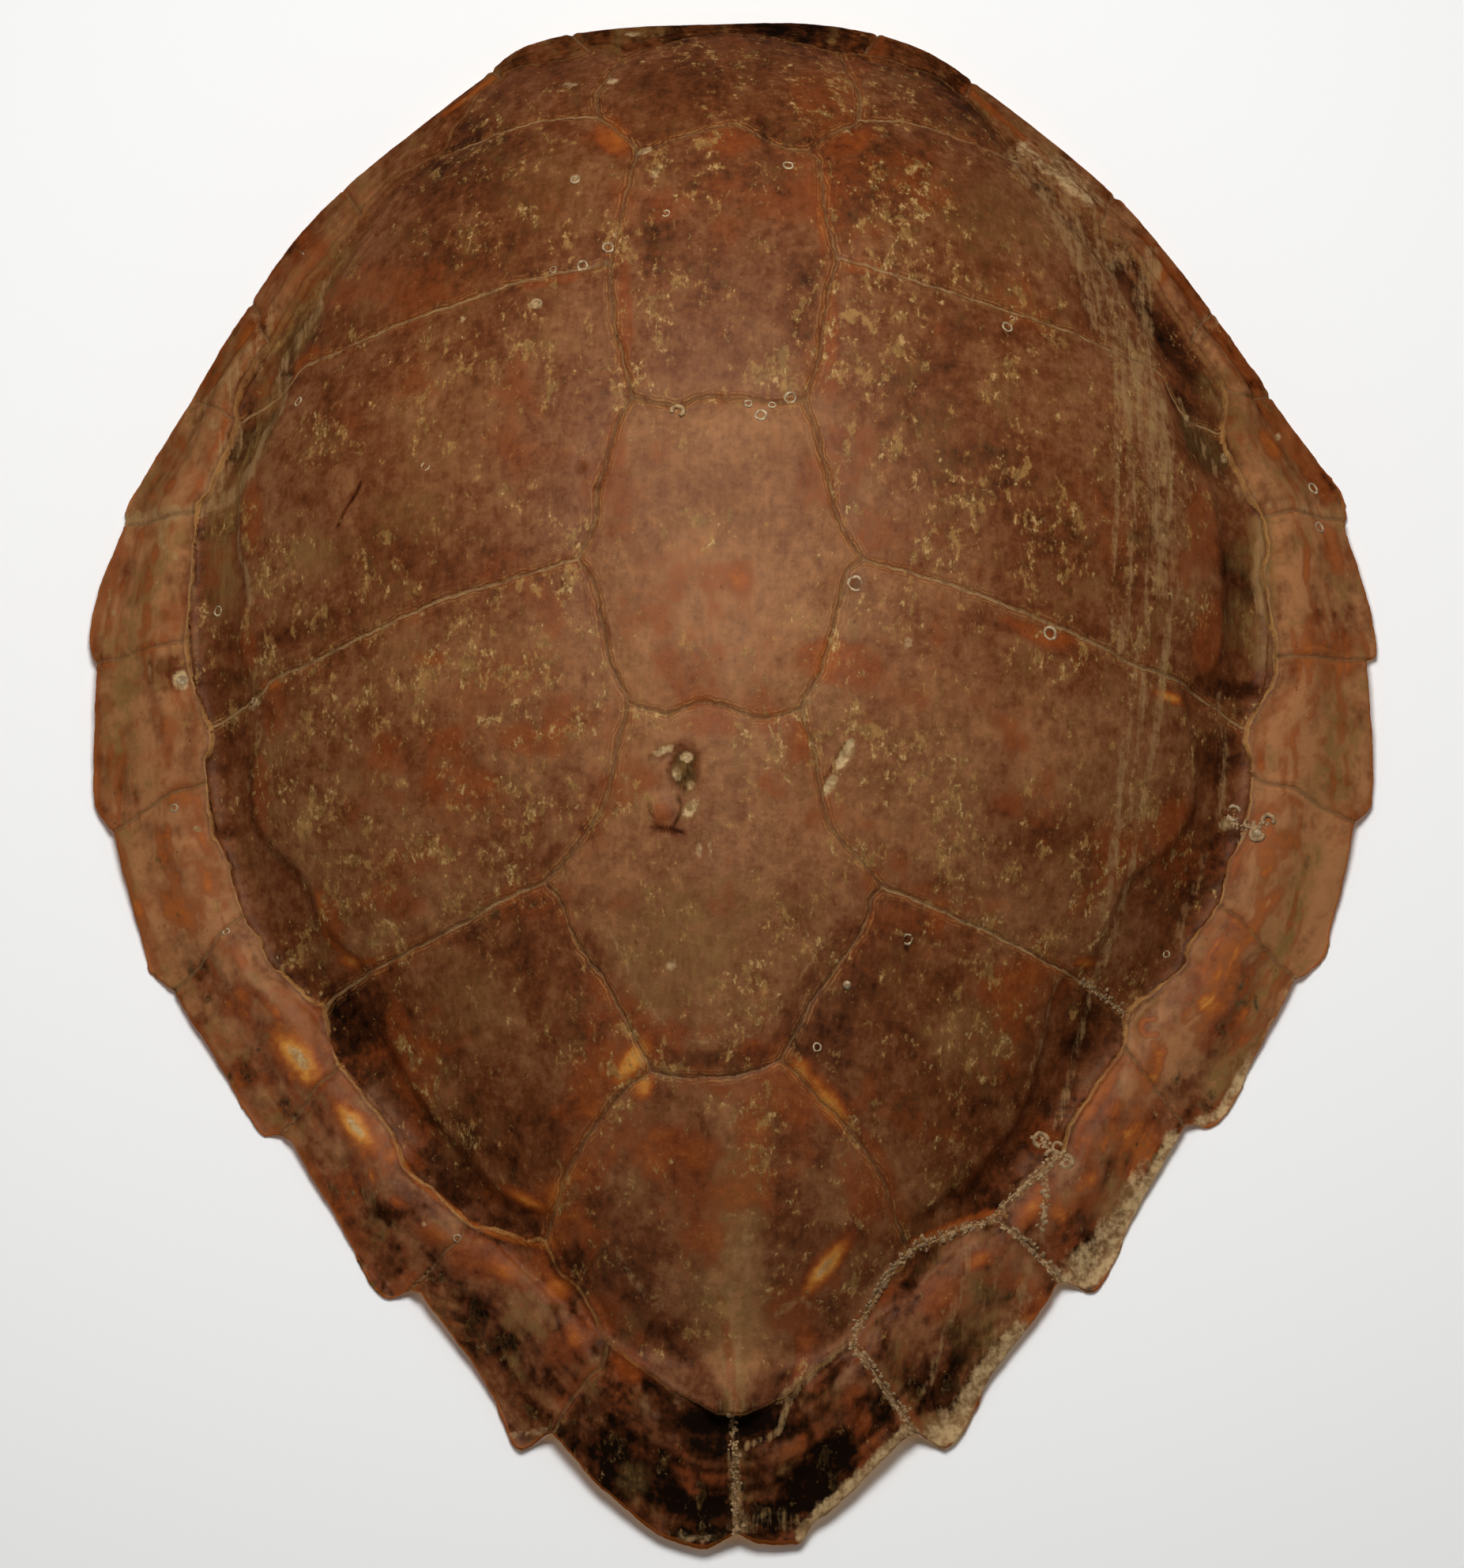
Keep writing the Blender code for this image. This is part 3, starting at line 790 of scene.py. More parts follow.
# Soft-edged ovals of each marking: middle, half width and half length, strength, turn.
DABS = {
    Mark.ORANGE: rows("""
        955 1430 26 66 .65, 870 1480 28 60 .4, 1085 1500 26 66 .55 -20, 318 650 18 50 .55, 312 820 16 40
        .5, 345 900 20 40 .45, 330 1000 16 60 .45, 1524 660 24 76 .5, 1530 800 24 66 .5, 1480 1040 24 50
        .6 30, 420 1160 18 48 .55 -20, 500 1290 20 40 .6 -20, 1150 720 60 10 .4 20, 1310 800 50 14 .7
        24, 780 560 14 50 .45, 1045 260 14 70 .8, 1050 420 14 80 .6, 790 400 14 90 .55, 775 170 22 30
        .85 -45, 1080 175 44 18 .7 -20, 920 175 50 22 .6, 1095 335 44 12 .6 8, 700 350 60 10 .5 -12, 800
        1300 30 70 .6 -30, 1000 1380 40 60 .6 -30, 740 1450 26 70 .5 30, 1110 1480 26 60 .6 -25, 1000
        1650 40 40 .5 30, 900 915 60 16 .5, 680 1140 60 20 .4 -20, 1150 1160 60 20 .35 22, 1390 1380 16
        60 .85 30, 1370 1520 34 14 .6 -20, 1190 1640 30 40 .6 20, 600 1590 60 26 .6 30, 720 1700 34 34
        .5 30, 1330 240 60 20 .3 40, 380 1290 20 60 .5 -35, 1240 1330 30 50 .2, 640 860 90 40 .3 -20,
        540 1080 70 30 .35 -20, 1260 1500 26 14 .5 -30, 1470 470 26 12 .4 20, 840 1026 14 14 .6, 1606
        562 15 28 .95 -35, 1690 690 12 38 .7 -15, 1656 812 10 44 .6, 1700 900 9 50 .5, 188 780 9 26 .7,
        150 700 10 24 .5 12, 215 940 9 40 .5
    """),
    Mark.AMBER: rows("""
        948 1404 12 40 .3, 1122 1506 7 46 .4 -18, 766 1470 8 40 .35 24, 378 1335 17 36 1 -42, 452 1424
        14 34 1 -38, 1045 1598 11 40 .95 38, 1606 1140 9 20 .55 40, 1637 1012 12 6 .4 30, 1651 716 4 20
        .6 5, 310 420 9 22 .55 30, 800 1340 14 30 .9 35, 814 1368 12 18 .8 20, 1046 1388 13 38 .8 -38,
        1012 1352 13 22 .75 -50, 555 1560 20 11 .5 20, 638 1604 28 12 .6 30, 706 1626 17 16 .6 30, 731
        1690 13 17 .6 -20, 796 1722 17 22 .4 -40, 1375 1217 12 7 .75, 1377 1490 10 10 .7, 442 1216 14 8
        .75 10, 672 1518 32 8 .7 28, 520 1459 16 9 .35 40, 1480 880 18 6 .75 20, 344 863 14 7 .6 -20,
        545 832 16 8 .45, 778 168 12 20 .6 -45, 1304 1526 10 26 .6 38, 1236 1592 16 9 .6 -20, 1120 1632
        8 20 .4 35, 950 1425 18 30 .22, 236 770 8 26 .3, 183 800 8 10 .32, 198 700 6 14 .4, 214 612 8 11
        .5 30, 1470 345 8 14 .45 20, 935 730 16 20 .45, 902 905 18 16 .35, 1325 1432 24 20 .3, 1348 806
        12 7 .45 20, 1606 548 8 14 .4 -35
    """),
    # darker horn, and painted shade in hollows, gutters and on the tail's flanks
    Mark.DARK: rows("""
        866 1556 36 44 .3, 640 1420 70 70 .25 -30, 1250 1400 60 70 .22 20, 262 668 36 17 .4 -12, 211 852
        24 28 1.15, 272 856 32 14 .4, 232 1050 20 12 .85, 290 1048 26 12 .5, 345 1228 32 13 .7 40, 1560
        870 36 15 .6, 1545 960 26 40 .6, 1530 566 30 54 .9 -35, 1495 500 14 36 .5 -30, 1566 740 30 60
        .55, 1610 640 30 12 .5, 1490 1130 30 44 .3 30, 440 1290 24 40 .45 -30, 1375 1300 26 60 .3 25,
        815 1876 84 40 .75 34, 1030 1864 86 36 .95 -42, 915 1795 60 14, 900 1915 46 30 .7, 740 1590 60
        36 .5 -40, 1030 1730 80 32 .3 -45, 560 1510 60 30 .35 -45, 1230 1500 60 26 .4 45, 600 210 80 46
        .25 -30, 860 100 70 34 .25, 1010 380 26 60 .35, 830 300 26 60 .3, 1360 1560 40 40 .8 30, 1405
        1430 30 34 .35 30, 1200 1740 30 60 .85 30, 1170 1600 40 26 .35, 490 1540 44 40 .45 -30, 620 1690
        40 44 .5 -30, 322 548 20 52 .8 28, 840 950 16 9 .6 -20, 735 590 8 8 .7, 757 615 5 6 .7, 1083 735
        9 13 .55, 746 1048 14 14 .6, 445 1402 4 4 .9, 1148 1190 5 14 .6, 1385 1600 4 4 .6, 700 1080 24
        10 .3 -45, 865 970 20 32 1.6 12, 845 1047 24 5 1.2 10, 1660 900 16 40 .45, 1700 780 16 30 .35,
        160 1000 16 40 .3, 176 740 18 30 .35, 1450 1298 7 9 .6, 790 1600 52 40 .35 -35, 1040 1680 50 40
        .3 40, 1632 692 13 34 .6, 1664 762 13 34 .55 -10, 1650 590 12 30 .5 -35, 158 720 10 30 .5 12,
        200 900 12 34 .4, 300 556 16 34 .8 28, 360 800 60 14 .4 -18, 520 690 90 50 .22 -10, 1250 600 90
        60 .22 20, 1180 500 50 60 .2, 1330 660 50 80 .22, 1210 400 90 20 .25 18, 480 1050 90 60 .25 -10,
        1330 1080 90 60 .25 20
    """),
    # painted highlights on the dome's top, the keel and the brim's crests
    Mark.LIGHT: rows("""
        560 1000 130 60 .16 -20, 1270 960 140 80 .16 20, 935 800 300 300 .24, 930 760 140 130 .34, 1665
        1090 26 76 .5 15, 1215 1320 70 50 .25, 590 1260 70 40 .22, 680 1650 26 16 .35 30, 1640 930 26 60
        .25, 190 930 26 70 .25
    """),
    Mark.DUST: rows("930 1772 26 9 .7"),
    Mark.FILM: rows("""
        400 700 34 30 .55, 520 650 60 34 .28, 860 1200 85 90 .42, 940 1130 60 40 .25, 1230 1310 60 55
        .3, 600 1270 55 60 .22, 1590 700 32 24 .35, 1575 785 26 36 .6, 1690 940 26 60 .3, 150 940 24 70
        .22, 800 1866 20 22 .45, 680 1650 40 22 .3, 1180 560 40 60 .16, 930 1640 60 60 .28, 1640 560 24
        40 .3 -35, 1270 270 90 60 .22, 690 240 60 60 .15, 1240 1660 44 60 .45 20, 864 978 20 34 .35 12,
        873 1022 10 16 1 40, 1526 558 26 46 .32 -35, 1068 954 9 20 1 28, 1051 992 8 14 1 32
    """),
    Mark.PALE: rows("""
        381 1337 10 24 .75 -42, 452 1423 7 22 .7 -38, 228 858 10 14 .95, 250 1047 7 5 .9, 1046 1596 5 22
        .7 38, 1604 1141 4 10 .4 40, 728 225 7 6 .7, 678 384 9 5 .95, 585 402 5 5 .8, 775 98 9 6 .6, 720
        103 14 5 .5 -10, 800 38 14 4 .5, 1120 168 9 4 .5, 1074 158 8 5 .5, 900 1075 16 3 .6 80, 850 1218
        9 8 .55, 140 772 3 4 .9, 203 737 3 3 .7, 318 886 6 5 .9, 312 893 6 4 .8, 535 775 5 3 .7, 1556
        573 4 8 .8, 1622 547 4 7 .7 20, 1510 522 5 5 .7, 540 1547 4 4 .6, 757 1500 4 4 .6, 815 187 14 5
        .8 -20, 830 215 6 10 .6 30, 540 320 5 5 .5, 1148 812 6 9 .5, 1555 1040 9 9 .9, 470 840 22 3 .35
        -18, 885 1072 14 5 .5 80
    """),
    Mark.BARE: rows("""
        868 954 10 8, 856 977 7 11 .8, 874 990 8 9 .65, 840 947 15 6 .6 -20, 874 1020 9 16 .75 40, 1069
        953 8 21 .9 28, 1051 991 7 14 .8 32
    """),
}
# Soft-edged bands of each marking: half width, strength, and the points of their line.
STROKES = {
    Mark.ORANGE: rows("""
        9 .7 395 440 352 470 322 490, 11 .58 1452 300 1490 348 1540 412 1588 482 1636 554 1686 624, 7 .5
        120 850 122 940 124 1020 148 1060 172 1150 200 1228, 7 .5 250 1300 330 1420 400 1490 480 1625, 6
        .5 158 650 122 780 118 820, 10 .55 1368 1400 1392 1370 1418 1336, 11 .5 590 1556 640 1586 700
        1610 730 1650, 6 .75 405 1130 410 1180 440 1208 470 1216, 4 1 1460 1288 1446 1290 1443 1300 1450
        1309 1461 1308
    """),
    Mark.AMBER: rows("""
        6 .3 912 1640 922 1700 928 1760 930 1778, 4 .5 560 140 600 110 622 92, 5 .4 1232 112 1280 156
        1330 200, 5 .62 498 1440 520 1482 560 1515 616 1552 690 1574, 5 .5 1158 1568 1200 1550 1262 1524
    """),
    # darker horn and cracks, and painted shade along the steep front and the tail's flanks
    Mark.DARK: rows("""
        12 .55 1420 330 1462 396 1498 450 1530 480, 18 .42 1430 290 1500 372 1560 450 1620 530 1690 620,
        12 .35 300 420 245 520 190 610, 2.2 .85 460 610 452 626 440 644 430 665, 2.6 .9 1044 982 1058
        962 1066 944 1079 934, 2.6 .8 822 1016 832 1040 850 1046 862 1022 858 1004, 3.4 .8 822 956 842
        952 862 940, 12 .25 1085 68 1150 84 1200 110 1260 170 1330 240, 12 .45 735 1590 800 1640 860
        1700 925 1775, 12 .45 1125 1560 1060 1650 1000 1720 950 1775, 15 .42 738 1180 782 1262 828 1328
        905 1340 980 1322 1030 1240 1082 1172, 20 .35 740 1480 790 1600 860 1710, 20 .35 1100 1520 1060
        1640 985 1730, 14 .22 640 66 740 42 860 32 1000 34 1100 46 1180 72, 12 .35 420 330 370 420 340
        500, 10 .35 1446 330 1486 400 1520 460
    """),
    # painted highlights along the keel, the brim's rear crests and a few swellings
    Mark.LIGHT: rows("""
        40 .55 935 1430 932 1600 929 1740, 14 .85 930 1640 929 1765, 26 .3 870 1370 1000 1374, 14 .35
        540 1150 430 1215, 15 .6 320 1200 420 1340 500 1450, 13 .75 1560 1190 1500 1310 1440 1400 1396
        1450
    """),
    Mark.DUST: rows("""
        15 .85 1458 318 1452 400 1456 470 1462 560 1467 640 1472 715, 8 .8 1410 330 1420 420 1428 520
        1432 640 1425 760 1420 820, 6 .7 1394 310 1402 400 1412 500 1412 640 1408 800, 6 .95 1472 700
        1478 760 1474 840, 7 .7 1440 800 1432 880 1420 960 1408 1080 1395 1160, 6 .8 1474 840 1462 920
        1448 1000 1432 1090 1416 1170 1390 1240, 5 .6 1452 720 1450 840 1436 960 1424 1060, 5 .7 1388
        1240 1372 1310 1350 1380 1326 1440, 5 .6 1338 1236 1322 1300 1298 1372, 6 .75 1530 1078 1518
        1120 1502 1160 1494 1196, 8 .45 1552 880 1556 930 1552 1000 1548 1030, 7 .55 1316 1478 1324 1510
        1318 1560 1304 1600 1290 1640, 7 .6 1222 1578 1212 1630 1192 1690 1172 1756, 7 .35 1262 1560
        1258 1610 1246 1660, 7 .8 402 380 362 436 350 470 352 512 330 550 318 590 300 612, 10 1 318 590
        296 616 262 636 222 648 190 648 160 656, 6 .9 226 648 208 664 207 686 222 704, 5 .8 300 618 296
        650 298 690 310 720 318 760, 5 .7 352 382 336 420 300 470 292 510 294 560 268 620, 6 .7 318 392
        334 430 322 462, 8 .8 302 470 264 496 252 520 276 536 284 556 262 620, 5 .6 246 668 246 700 242
        740 238 800, 26 .74 1300 196 1340 250 1372 318 1402 390 1440 470 1458 560, 26 .7 1444 470 1462
        560 1466 640 1472 740, 16 .6 1300 190 1350 232 1400 290 1440 330, 5 .8 1600 660 1594 720 1598
        770, 6 .4 316 880 322 920 316 960 308 1000, 8 .5 1546 590 1580 622 1640 640 1700 648, 7 .6 1497
        500 1530 560 1556 604, 5 .45 192 866 190 850 202 832, 5 .45 430 300 395 380 360 470 330 560, 10
        .4 1330 200 1370 226 1400 262, 9 .6 1540 402 1520 424, 5 .95 930 1836 950 1822 982 1808 992 1786
        1004 1760 1030 1732, 8 .95 929 1832 930 1870 933 1900 935 1930, 14 .5 930 1925 980 1918 1016
        1926, 12 .45 1300 1640 1262 1690 1232 1740 1208 1790, 8 1 1340 1456 1303 1490 1258 1535 1208
        1555 1151 1581, 6 1 1151 1581 1117 1620 1088 1671 1076 1692 1026 1731 985 1766, 6 1 1076 1692
        1117 1747 1160 1810, 6 1 1258 1535 1280 1557 1315 1584 1343 1616, 2.5 .7 770 1170 806 1240 850
        1300 905 1316 962 1300 1008 1240 1052 1176, 20 .42 938 1540 932 1640 929 1768, 7 .6 770 1560 800
        1610 836 1650, 6 .6 985 1660 1010 1640 1030 1650
    """),
    Mark.FILM: rows("""
        24 .3 300 440 250 530 200 610 165 650, 20 .5 335 480 330 540 300 600 275 660 275 760, 26 .5 215
        680 190 740 150 860 150 960, 20 .38 1540 480 1590 560 1640 620, 24 .6 1690 860 1700 930 1680
        1000, 22 .6 1660 1080 1620 1190 1580 1280 1540 1370, 22 .6 1440 1450 1400 1520, 16 .6 1600 660
        1600 760 1602 830, 22 .5 430 320 390 380 350 440, 34 .42 935 1470 930 1600 928 1700, 14 .6 928
        1690 928 1772
    """),
    Mark.PALE: rows("""
        12 .5 1300 184 1340 214 1380 250, 5 .4 1512 418 1524 402 1532 394, 10 .4 1326 188 1362 214 1396
        252, 13 .9 1016 1936 1052 1900 1092 1866 1124 1832 1152 1808, 14 .85 1180 1812 1206 1806 1226
        1764 1248 1730 1290 1680, 18 .5 1186 1802 1212 1780, 12 .75 1352 1614 1384 1612 1408 1574 1432
        1528 1458 1484 1486 1438, 24 .75 1366 1600 1392 1586 1412 1550, 12 .5 1398 1560 1424 1520 1450
        1470, 8 .65 1516 1418 1542 1406 1562 1378 1582 1336, 5 .4 1590 1330 1640 1236, 6 .4 650 1812 690
        1806, 8 .3 852 1936 884 1942 910 1938
    """),
}


@dataclass(frozen=True)
class Clouds:
    """A pattern of clouds over the shell as it is seen."""

    wide: float             # the coarsest are about so many pixels wide and high
    high: float
    seed: int
    octaves: int = 4        # how many finenesses

    def over(self, grid: "FineGrid") -> Array:
        """The pattern at each vertex, from about -1 to 1."""
        return cloudy(grid.column / self.wide, grid.row / self.high, self.seed, self.octaves)


class Painter:
    """Lays markings on the shell's vertices."""

    def __init__(self, grid: "FineGrid") -> None:
        """Starts with nothing laid.

        Args:
            grid: the vertices.
        """
        self.column, self.row = grid.column, grid.row
        self.ragged = 0.55 * Clouds(11, 11, 301).over(grid) + 0.45 * Clouds(34, 34, 302, 2).over(grid)
        self.marks = {mark: np.zeros(len(grid.column)) for mark in Mark}

    def lay_all(self) -> dict[str, Array]:
        """Lays every dab and every stroke.

        Returns:
            How strong each marking is at each vertex, by its name.
        """
        for mark in Mark:
            for oval in DABS.get(mark, ()):
                self.dab(mark, Oval(*oval))
            for band in STROKES.get(mark, ()):
                self.stroke(mark, *band)
        return {mark.value: amount for mark, amount in self.marks.items()}

    def lay(self, mark: Mark, here: Array, amount: Array) -> None:
        """Keeps the stronger of what is there and what is laid on some of the vertices."""
        values = self.marks[mark]
        values[here] = np.maximum(values[here], amount)

    def dab(self, mark: Mark, oval: Oval) -> None:
        """Lays one oval; a clear yellow one fades out far into its halo.

        Args:
            mark: what it does to the horn.
            oval: where it is.
        """
        inner, outer = (0.1, 2.1) if mark is Mark.AMBER else (0.45, 1.3)
        margin = (outer + 0.2) * max(oval.wide, oval.long) + 4
        here = np.nonzero((np.abs(self.column - oval.x) < margin) & (np.abs(self.row - oval.y) < margin))[0]
        reach = oval.reach(self.column[here], self.row[here]) + 0.38 * self.ragged[here]
        self.lay(mark, here, oval.amount * soft_step(outer, inner, reach))

    def stroke(self, mark: Mark, width: float, strength: float, *line: float) -> None:
        """Lays one band along a line.

        Args:
            mark: what it does to the horn.
            width: half its width, in pixels.
            strength: how strong it is.
            line: the line's columns and rows by turns.
        """
        line = dense_curve(np.reshape(line, (-1, 2)), False, 6)
        low, high = line.min(0) - 2 * width - 4, line.max(0) + 2 * width + 4
        here = np.nonzero((self.column > low[0]) & (self.column < high[0])
                          & (self.row > low[1]) & (self.row < high[1]))[0]
        near = np.full(len(here), 1e9)
        for start, end in zip(line[:-1], line[1:]):
            run = end - start
            from_start = np.column_stack((self.column[here], self.row[here])) - start
            share = np.clip(from_start @ run / max(run @ run, 1e-9), 0.0, 1.0)
            near = np.minimum(near, np.hypot(*(from_start - share[:, None] * run).T))
        reach = near / width + 0.5 * self.ragged[here]
        self.lay(mark, here, strength * soft_step(1.35, 0.4, reach))


# ---- relief ----
# Shallow dips or, with a negative depth, swellings: middle, half sizes, depth in mm, turn.
HOLLOWS = rows("""
    252 670 44 22 2.6 -12, 245 857 46 20 2.8, 254 1047 38 16 2, 330 1215 40 16 1.8 45, 1560 868 40 17 2,
    1545 955 30 40 2.2, 1530 558 20 54 2.4 -28, 1602 640 34 16 2, 1492 1128 26 44 1.8 30, 440 1290 24 40
    1.6 -30, 1372 1302 22 60 1.4 25, 320 545 22 52 1.4 28, 920 1806 60 18 4.2, 1000 1800 40 26 1.2 -30,
    864 966 15 24 3.4 12, 868 992 19 14 2.8, 836 1024 15 17 -2.2, 1070 953 6 18 1.6 28, 1050 992 5 13
    1.4 32, 841 950 20 7 1.2 -20, 735 590 8 8 1, 757 615 5 6 .8, 1083 735 9 14 .9, 445 1402 4 4 .9, 1148
    1190 6 15 .8, 365 1318 4 5 .7, 746 1048 13 13 1, 540 588 6 6 .7, 1385 1600 4 4 .8, 1326 798 18 10 .8
    20, 875 150 30 20 1, 840 250 12 60 .9, 1020 260 10 60 .9, 930 1120 90 40 -1, 480 600 90 90 -1.2,
    1300 560 120 110 -1.2, 520 960 120 90 -1, 1260 980 120 90 -1
""")


@dataclass(frozen=True)
class Relief:
    """How far the horn stands off the smooth outer face, and what shapes it; depths in mm."""

    plate_valley: float = 2.0        # how far plates sink towards their seams
    valley_width: float = 11.0
    plate_seam: tuple = ((-0.8, 0.0, 1.3), (0.25, 3.0, 1.3))      # height, middle and width
    brim_seam: tuple = ((0.5, 1.0, 1.0), (-0.4, 0.0, 0.7), (-0.5, 4.5, 2.5))
    deepest: float = 4.8             # no relief on the dome goes deeper than this
    tip: float = 4.5                 # how far the last middle plate's tip rides up on the tail
    shoulder_drop: float = 3.6
    shoulder_width_px: float = 13.0
    crest: float = 3.4               # the brim's rounded crest
    swell: float = 0.88              # uneven growth, a few centimetres across
    ripple: float = 0.20             # a few millimetres across

    def shoulder(self, grid: "FineGrid") -> Array:
        """Where the horn lies in the sunken strip inside the brim.

        Args:
            grid: the vertices.

        Returns:
            From 0 on the side plates' bulge to 1 outside it.
        """
        amount = np.zeros(len(grid.column))
        for line, outward in ((SHOULDER_LEFT, -1.0), (SHOULDER_RIGHT, 1.0)):
            dense = dense_curve(line, False, 12)
            edge = ScuteMap.line_at(dense, grid.row, 0)
            step = np.gradient(dense[:, 0]) / np.maximum(np.gradient(dense[:, 1]), 0.2)
            lean = np.interp(grid.row, dense[:, 1], np.hypot(1.0, step))
            beyond = outward * (grid.column - edge) / lean
            ends = soft_step(150.0, 330.0, grid.row) * soft_step(1575.0, 1520.0, grid.row)
            amount = np.maximum(amount, ends * soft_step(
                -0.5 * self.shoulder_width_px, self.shoulder_width_px, beyond))
        return amount * (grid.across < 0)

    def hollows(self, grid: "FineGrid") -> Array:
        """The dips and swellings, added up.

        Args:
            grid: the vertices.

        Returns:
            How far they raise each vertex, in mm.
        """
        total = np.zeros(len(grid.column))
        for row in HOLLOWS:
            hollow = Oval(*row)
            reach = hollow.reach(grid.column, grid.row) + 0.18 * grid.ragged
            total -= hollow.amount * np.exp(-np.clip(reach, 0.0, 6.0) ** 2.6 * 1.1)
        return total

    def brim(self, grid: "FineGrid") -> Array:
        """The brim's crest just outside its seam, and the slight hollow beyond it.

        Args:
            grid: the vertices.

        Returns:
            How far they raise each vertex, in mm.
        """
        across = grid.across
        full = soft_step(0.25, 1.1, np.abs(grid.bearing))
        crest = np.exp(-((across - 0.30) / 0.20) ** 2) - 0.55 * np.exp(-((across - 0.74) / 0.16) ** 2)
        return self.crest * full * crest * soft_step(0.0, 0.12, across)

    def stand_off(self, grid: "FineGrid", plate_mm: Array, brim_mm: Array) -> Array:
        """The whole relief along the outward direction, but for the raised tip.

        Args:
            grid: the vertices.
            plate_mm: their distance from the nearest seam between plates of a row, in mm.
            brim_mm: their distance from the seam between dome and brim, in mm.

        Returns:
            The distance that each vertex stands off, in metres.
        """
        valley = self.plate_valley * np.where(grid.across < 0, 1.0, 0.45)
        total = -valley * np.exp(-plate_mm / self.valley_width)
        for away, ridges in ((plate_mm, self.plate_seam), (brim_mm, self.brim_seam)):
            for height, middle, width in ridges:
                total += height * np.exp(-((away - middle) / width) ** 2)
        total -= self.shoulder_drop * self.shoulder(grid)
        total += self.brim(grid) + self.hollows(grid)
        x, y = grid.plan.T
        edge = soft_step(1.0, 0.8, grid.across)
        total += edge * self.swell * cloudy(x / 0.055, y / 0.055, 401)
        total += edge * self.ripple * cloudy(x / 0.010, y / 0.010, 402)
        return MM * np.where(total < 0, self.deepest * np.tanh(total / self.deepest), total)

    def raised_tip(self, grid: "FineGrid") -> Array:
        """How far the rearmost middle plate's tip is raised besides, in metres."""
        near_midline = np.exp(-((grid.column - 928.0) / 46.0) ** 2)
        return MM * self.tip * near_midline * soft_step(1640.0, 1770.0, grid.row)


# ---- the fine grid that the plates are cut from ----
class FineGrid:
    """A square grid laid over the whole outer face, and what is known at each of its vertices."""

    SNAP_REACH = 0.0028         # no vertex moves further than this to reach a seam
    SNAP_LIMIT = 0.94           # this far across the brim and further out, none moves

    def __init__(self, surface: ShellSurface, scutes: ScuteMap, cells: int) -> None:
        """Lays the grid, sorts its faces by plate and pulls the borders onto the seams.

        Args:
            surface: the outer face.
            scutes: the plates' borders.
            cells: cells along each side of the grid.
        """
        self.surface, self.scutes = surface, scutes
        x, y, self.faces = disc_grid(cells)
        ring, share = np.minimum(np.hypot(x, y), 1.0), np.arctan2(y, x) / (2 * math.pi)
        crown = (0.0, surface.form.crown_y)
        self.plan = (surface.rim.at_share(share) - crown) * ring[:, None] + crown
        self.on_rim = ring > 1.0 - 1e-6
        self.refresh()
        self.face_plate = scutes.plate_at(self.place[self.faces].mean(1))
        self.snap()
        self.refresh()
        self.outward = surface.outward(*self.plan.T)

    def refresh(self) -> None:
        """Works out heights and pixels from the plan."""
        self.place = np.column_stack((self.plan, self.surface.height(*self.plan.T)))
        self.column, self.row = self.surface.to_pixels(self.place)
        self.bearing, radius = polar(*self.plan.T, self.surface.form.crown_y)
        self.across = self.scutes.across(self.bearing, radius)
        self.ragged = Clouds(13, 13, 77, 3).over(self)

    def snap(self) -> None:
        """Moves the vertices between two plates onto the seam, and notes which they are."""
        count = len(self.plan)
        low, high = np.full(count, 99), np.full(count, -1)
        for corner in self.faces.T:
            np.minimum.at(low, corner, self.face_plate)
            np.maximum.at(high, corner, self.face_plate)
        borders = np.nonzero((low != high) & ~self.on_rim)[0]
        seams = np.vstack((self.scutes.brim_points, self.scutes.plate_seam_points))
        index, distance = nearest(tree_of(seams), self.place[borders])
        close = (distance < self.SNAP_REACH) & (self.across[borders] < self.SNAP_LIMIT)
        self.plan[borders[close]] = seams[index[close], :2]
        self.on_brim_seam, self.on_plate_seam = np.zeros(count, bool), np.zeros(count, bool)
        by_brim = index < len(self.scutes.brim_points)
        self.on_brim_seam[borders[close & by_brim]] = True
        self.on_plate_seam[borders[close & ~by_brim]] = True
        self.on_plate_seam[(low != high) & self.on_rim] = True

    def seam_values(self) -> dict[str, Array]:
        """How far the seams are from each vertex, and what the nearest ones are like.

        Returns:
            Numbers at the vertices, by the names under which the material reads them.
        """
        index, plate = nearest(tree_of(self.scutes.plate_seam_points), self.place)
        _, brim = nearest(tree_of(self.scutes.brim_points), self.place)
        plate, brim = plate / MM, brim / MM
        plate[self.on_plate_seam] = 0.0
        brim[self.on_brim_seam] = 0.0
        cord = soft_step(0.9, 1.35, np.abs(self.bearing)) * soft_step(3.1, 2.7, np.abs(self.bearing))
        broken = np.clip(0.75 + 0.9 * Clouds(15, 15, 78, 3).over(self), 0.15, 1.0)
        return {"seam_mm": plate, "brim_mm": brim, "seam_silt": self.scutes.seam_silt[index] * broken,
                "seam_band": self.scutes.seam_band[index], "cord": (0.25 + 0.75 * cord) * broken,
                "across": self.across}

    def at_pixel(self, x: float, y: float) -> int:
        """The vertex seen nearest to a pixel."""
        return int(np.argmin((self.column - x) ** 2 + (self.row - y) ** 2))


# ---- meshes ----
def linked(name: str, data: bpy.types.ID) -> Piece:
    """A new object, linked to the scene.

    Args:
        name: its name.
        data: its mesh, lamp or camera.

    Returns:
        The object.
    """
    made = bpy.data.objects.new(name, data)
    bpy.context.scene.collection.objects.link(made)
    return made


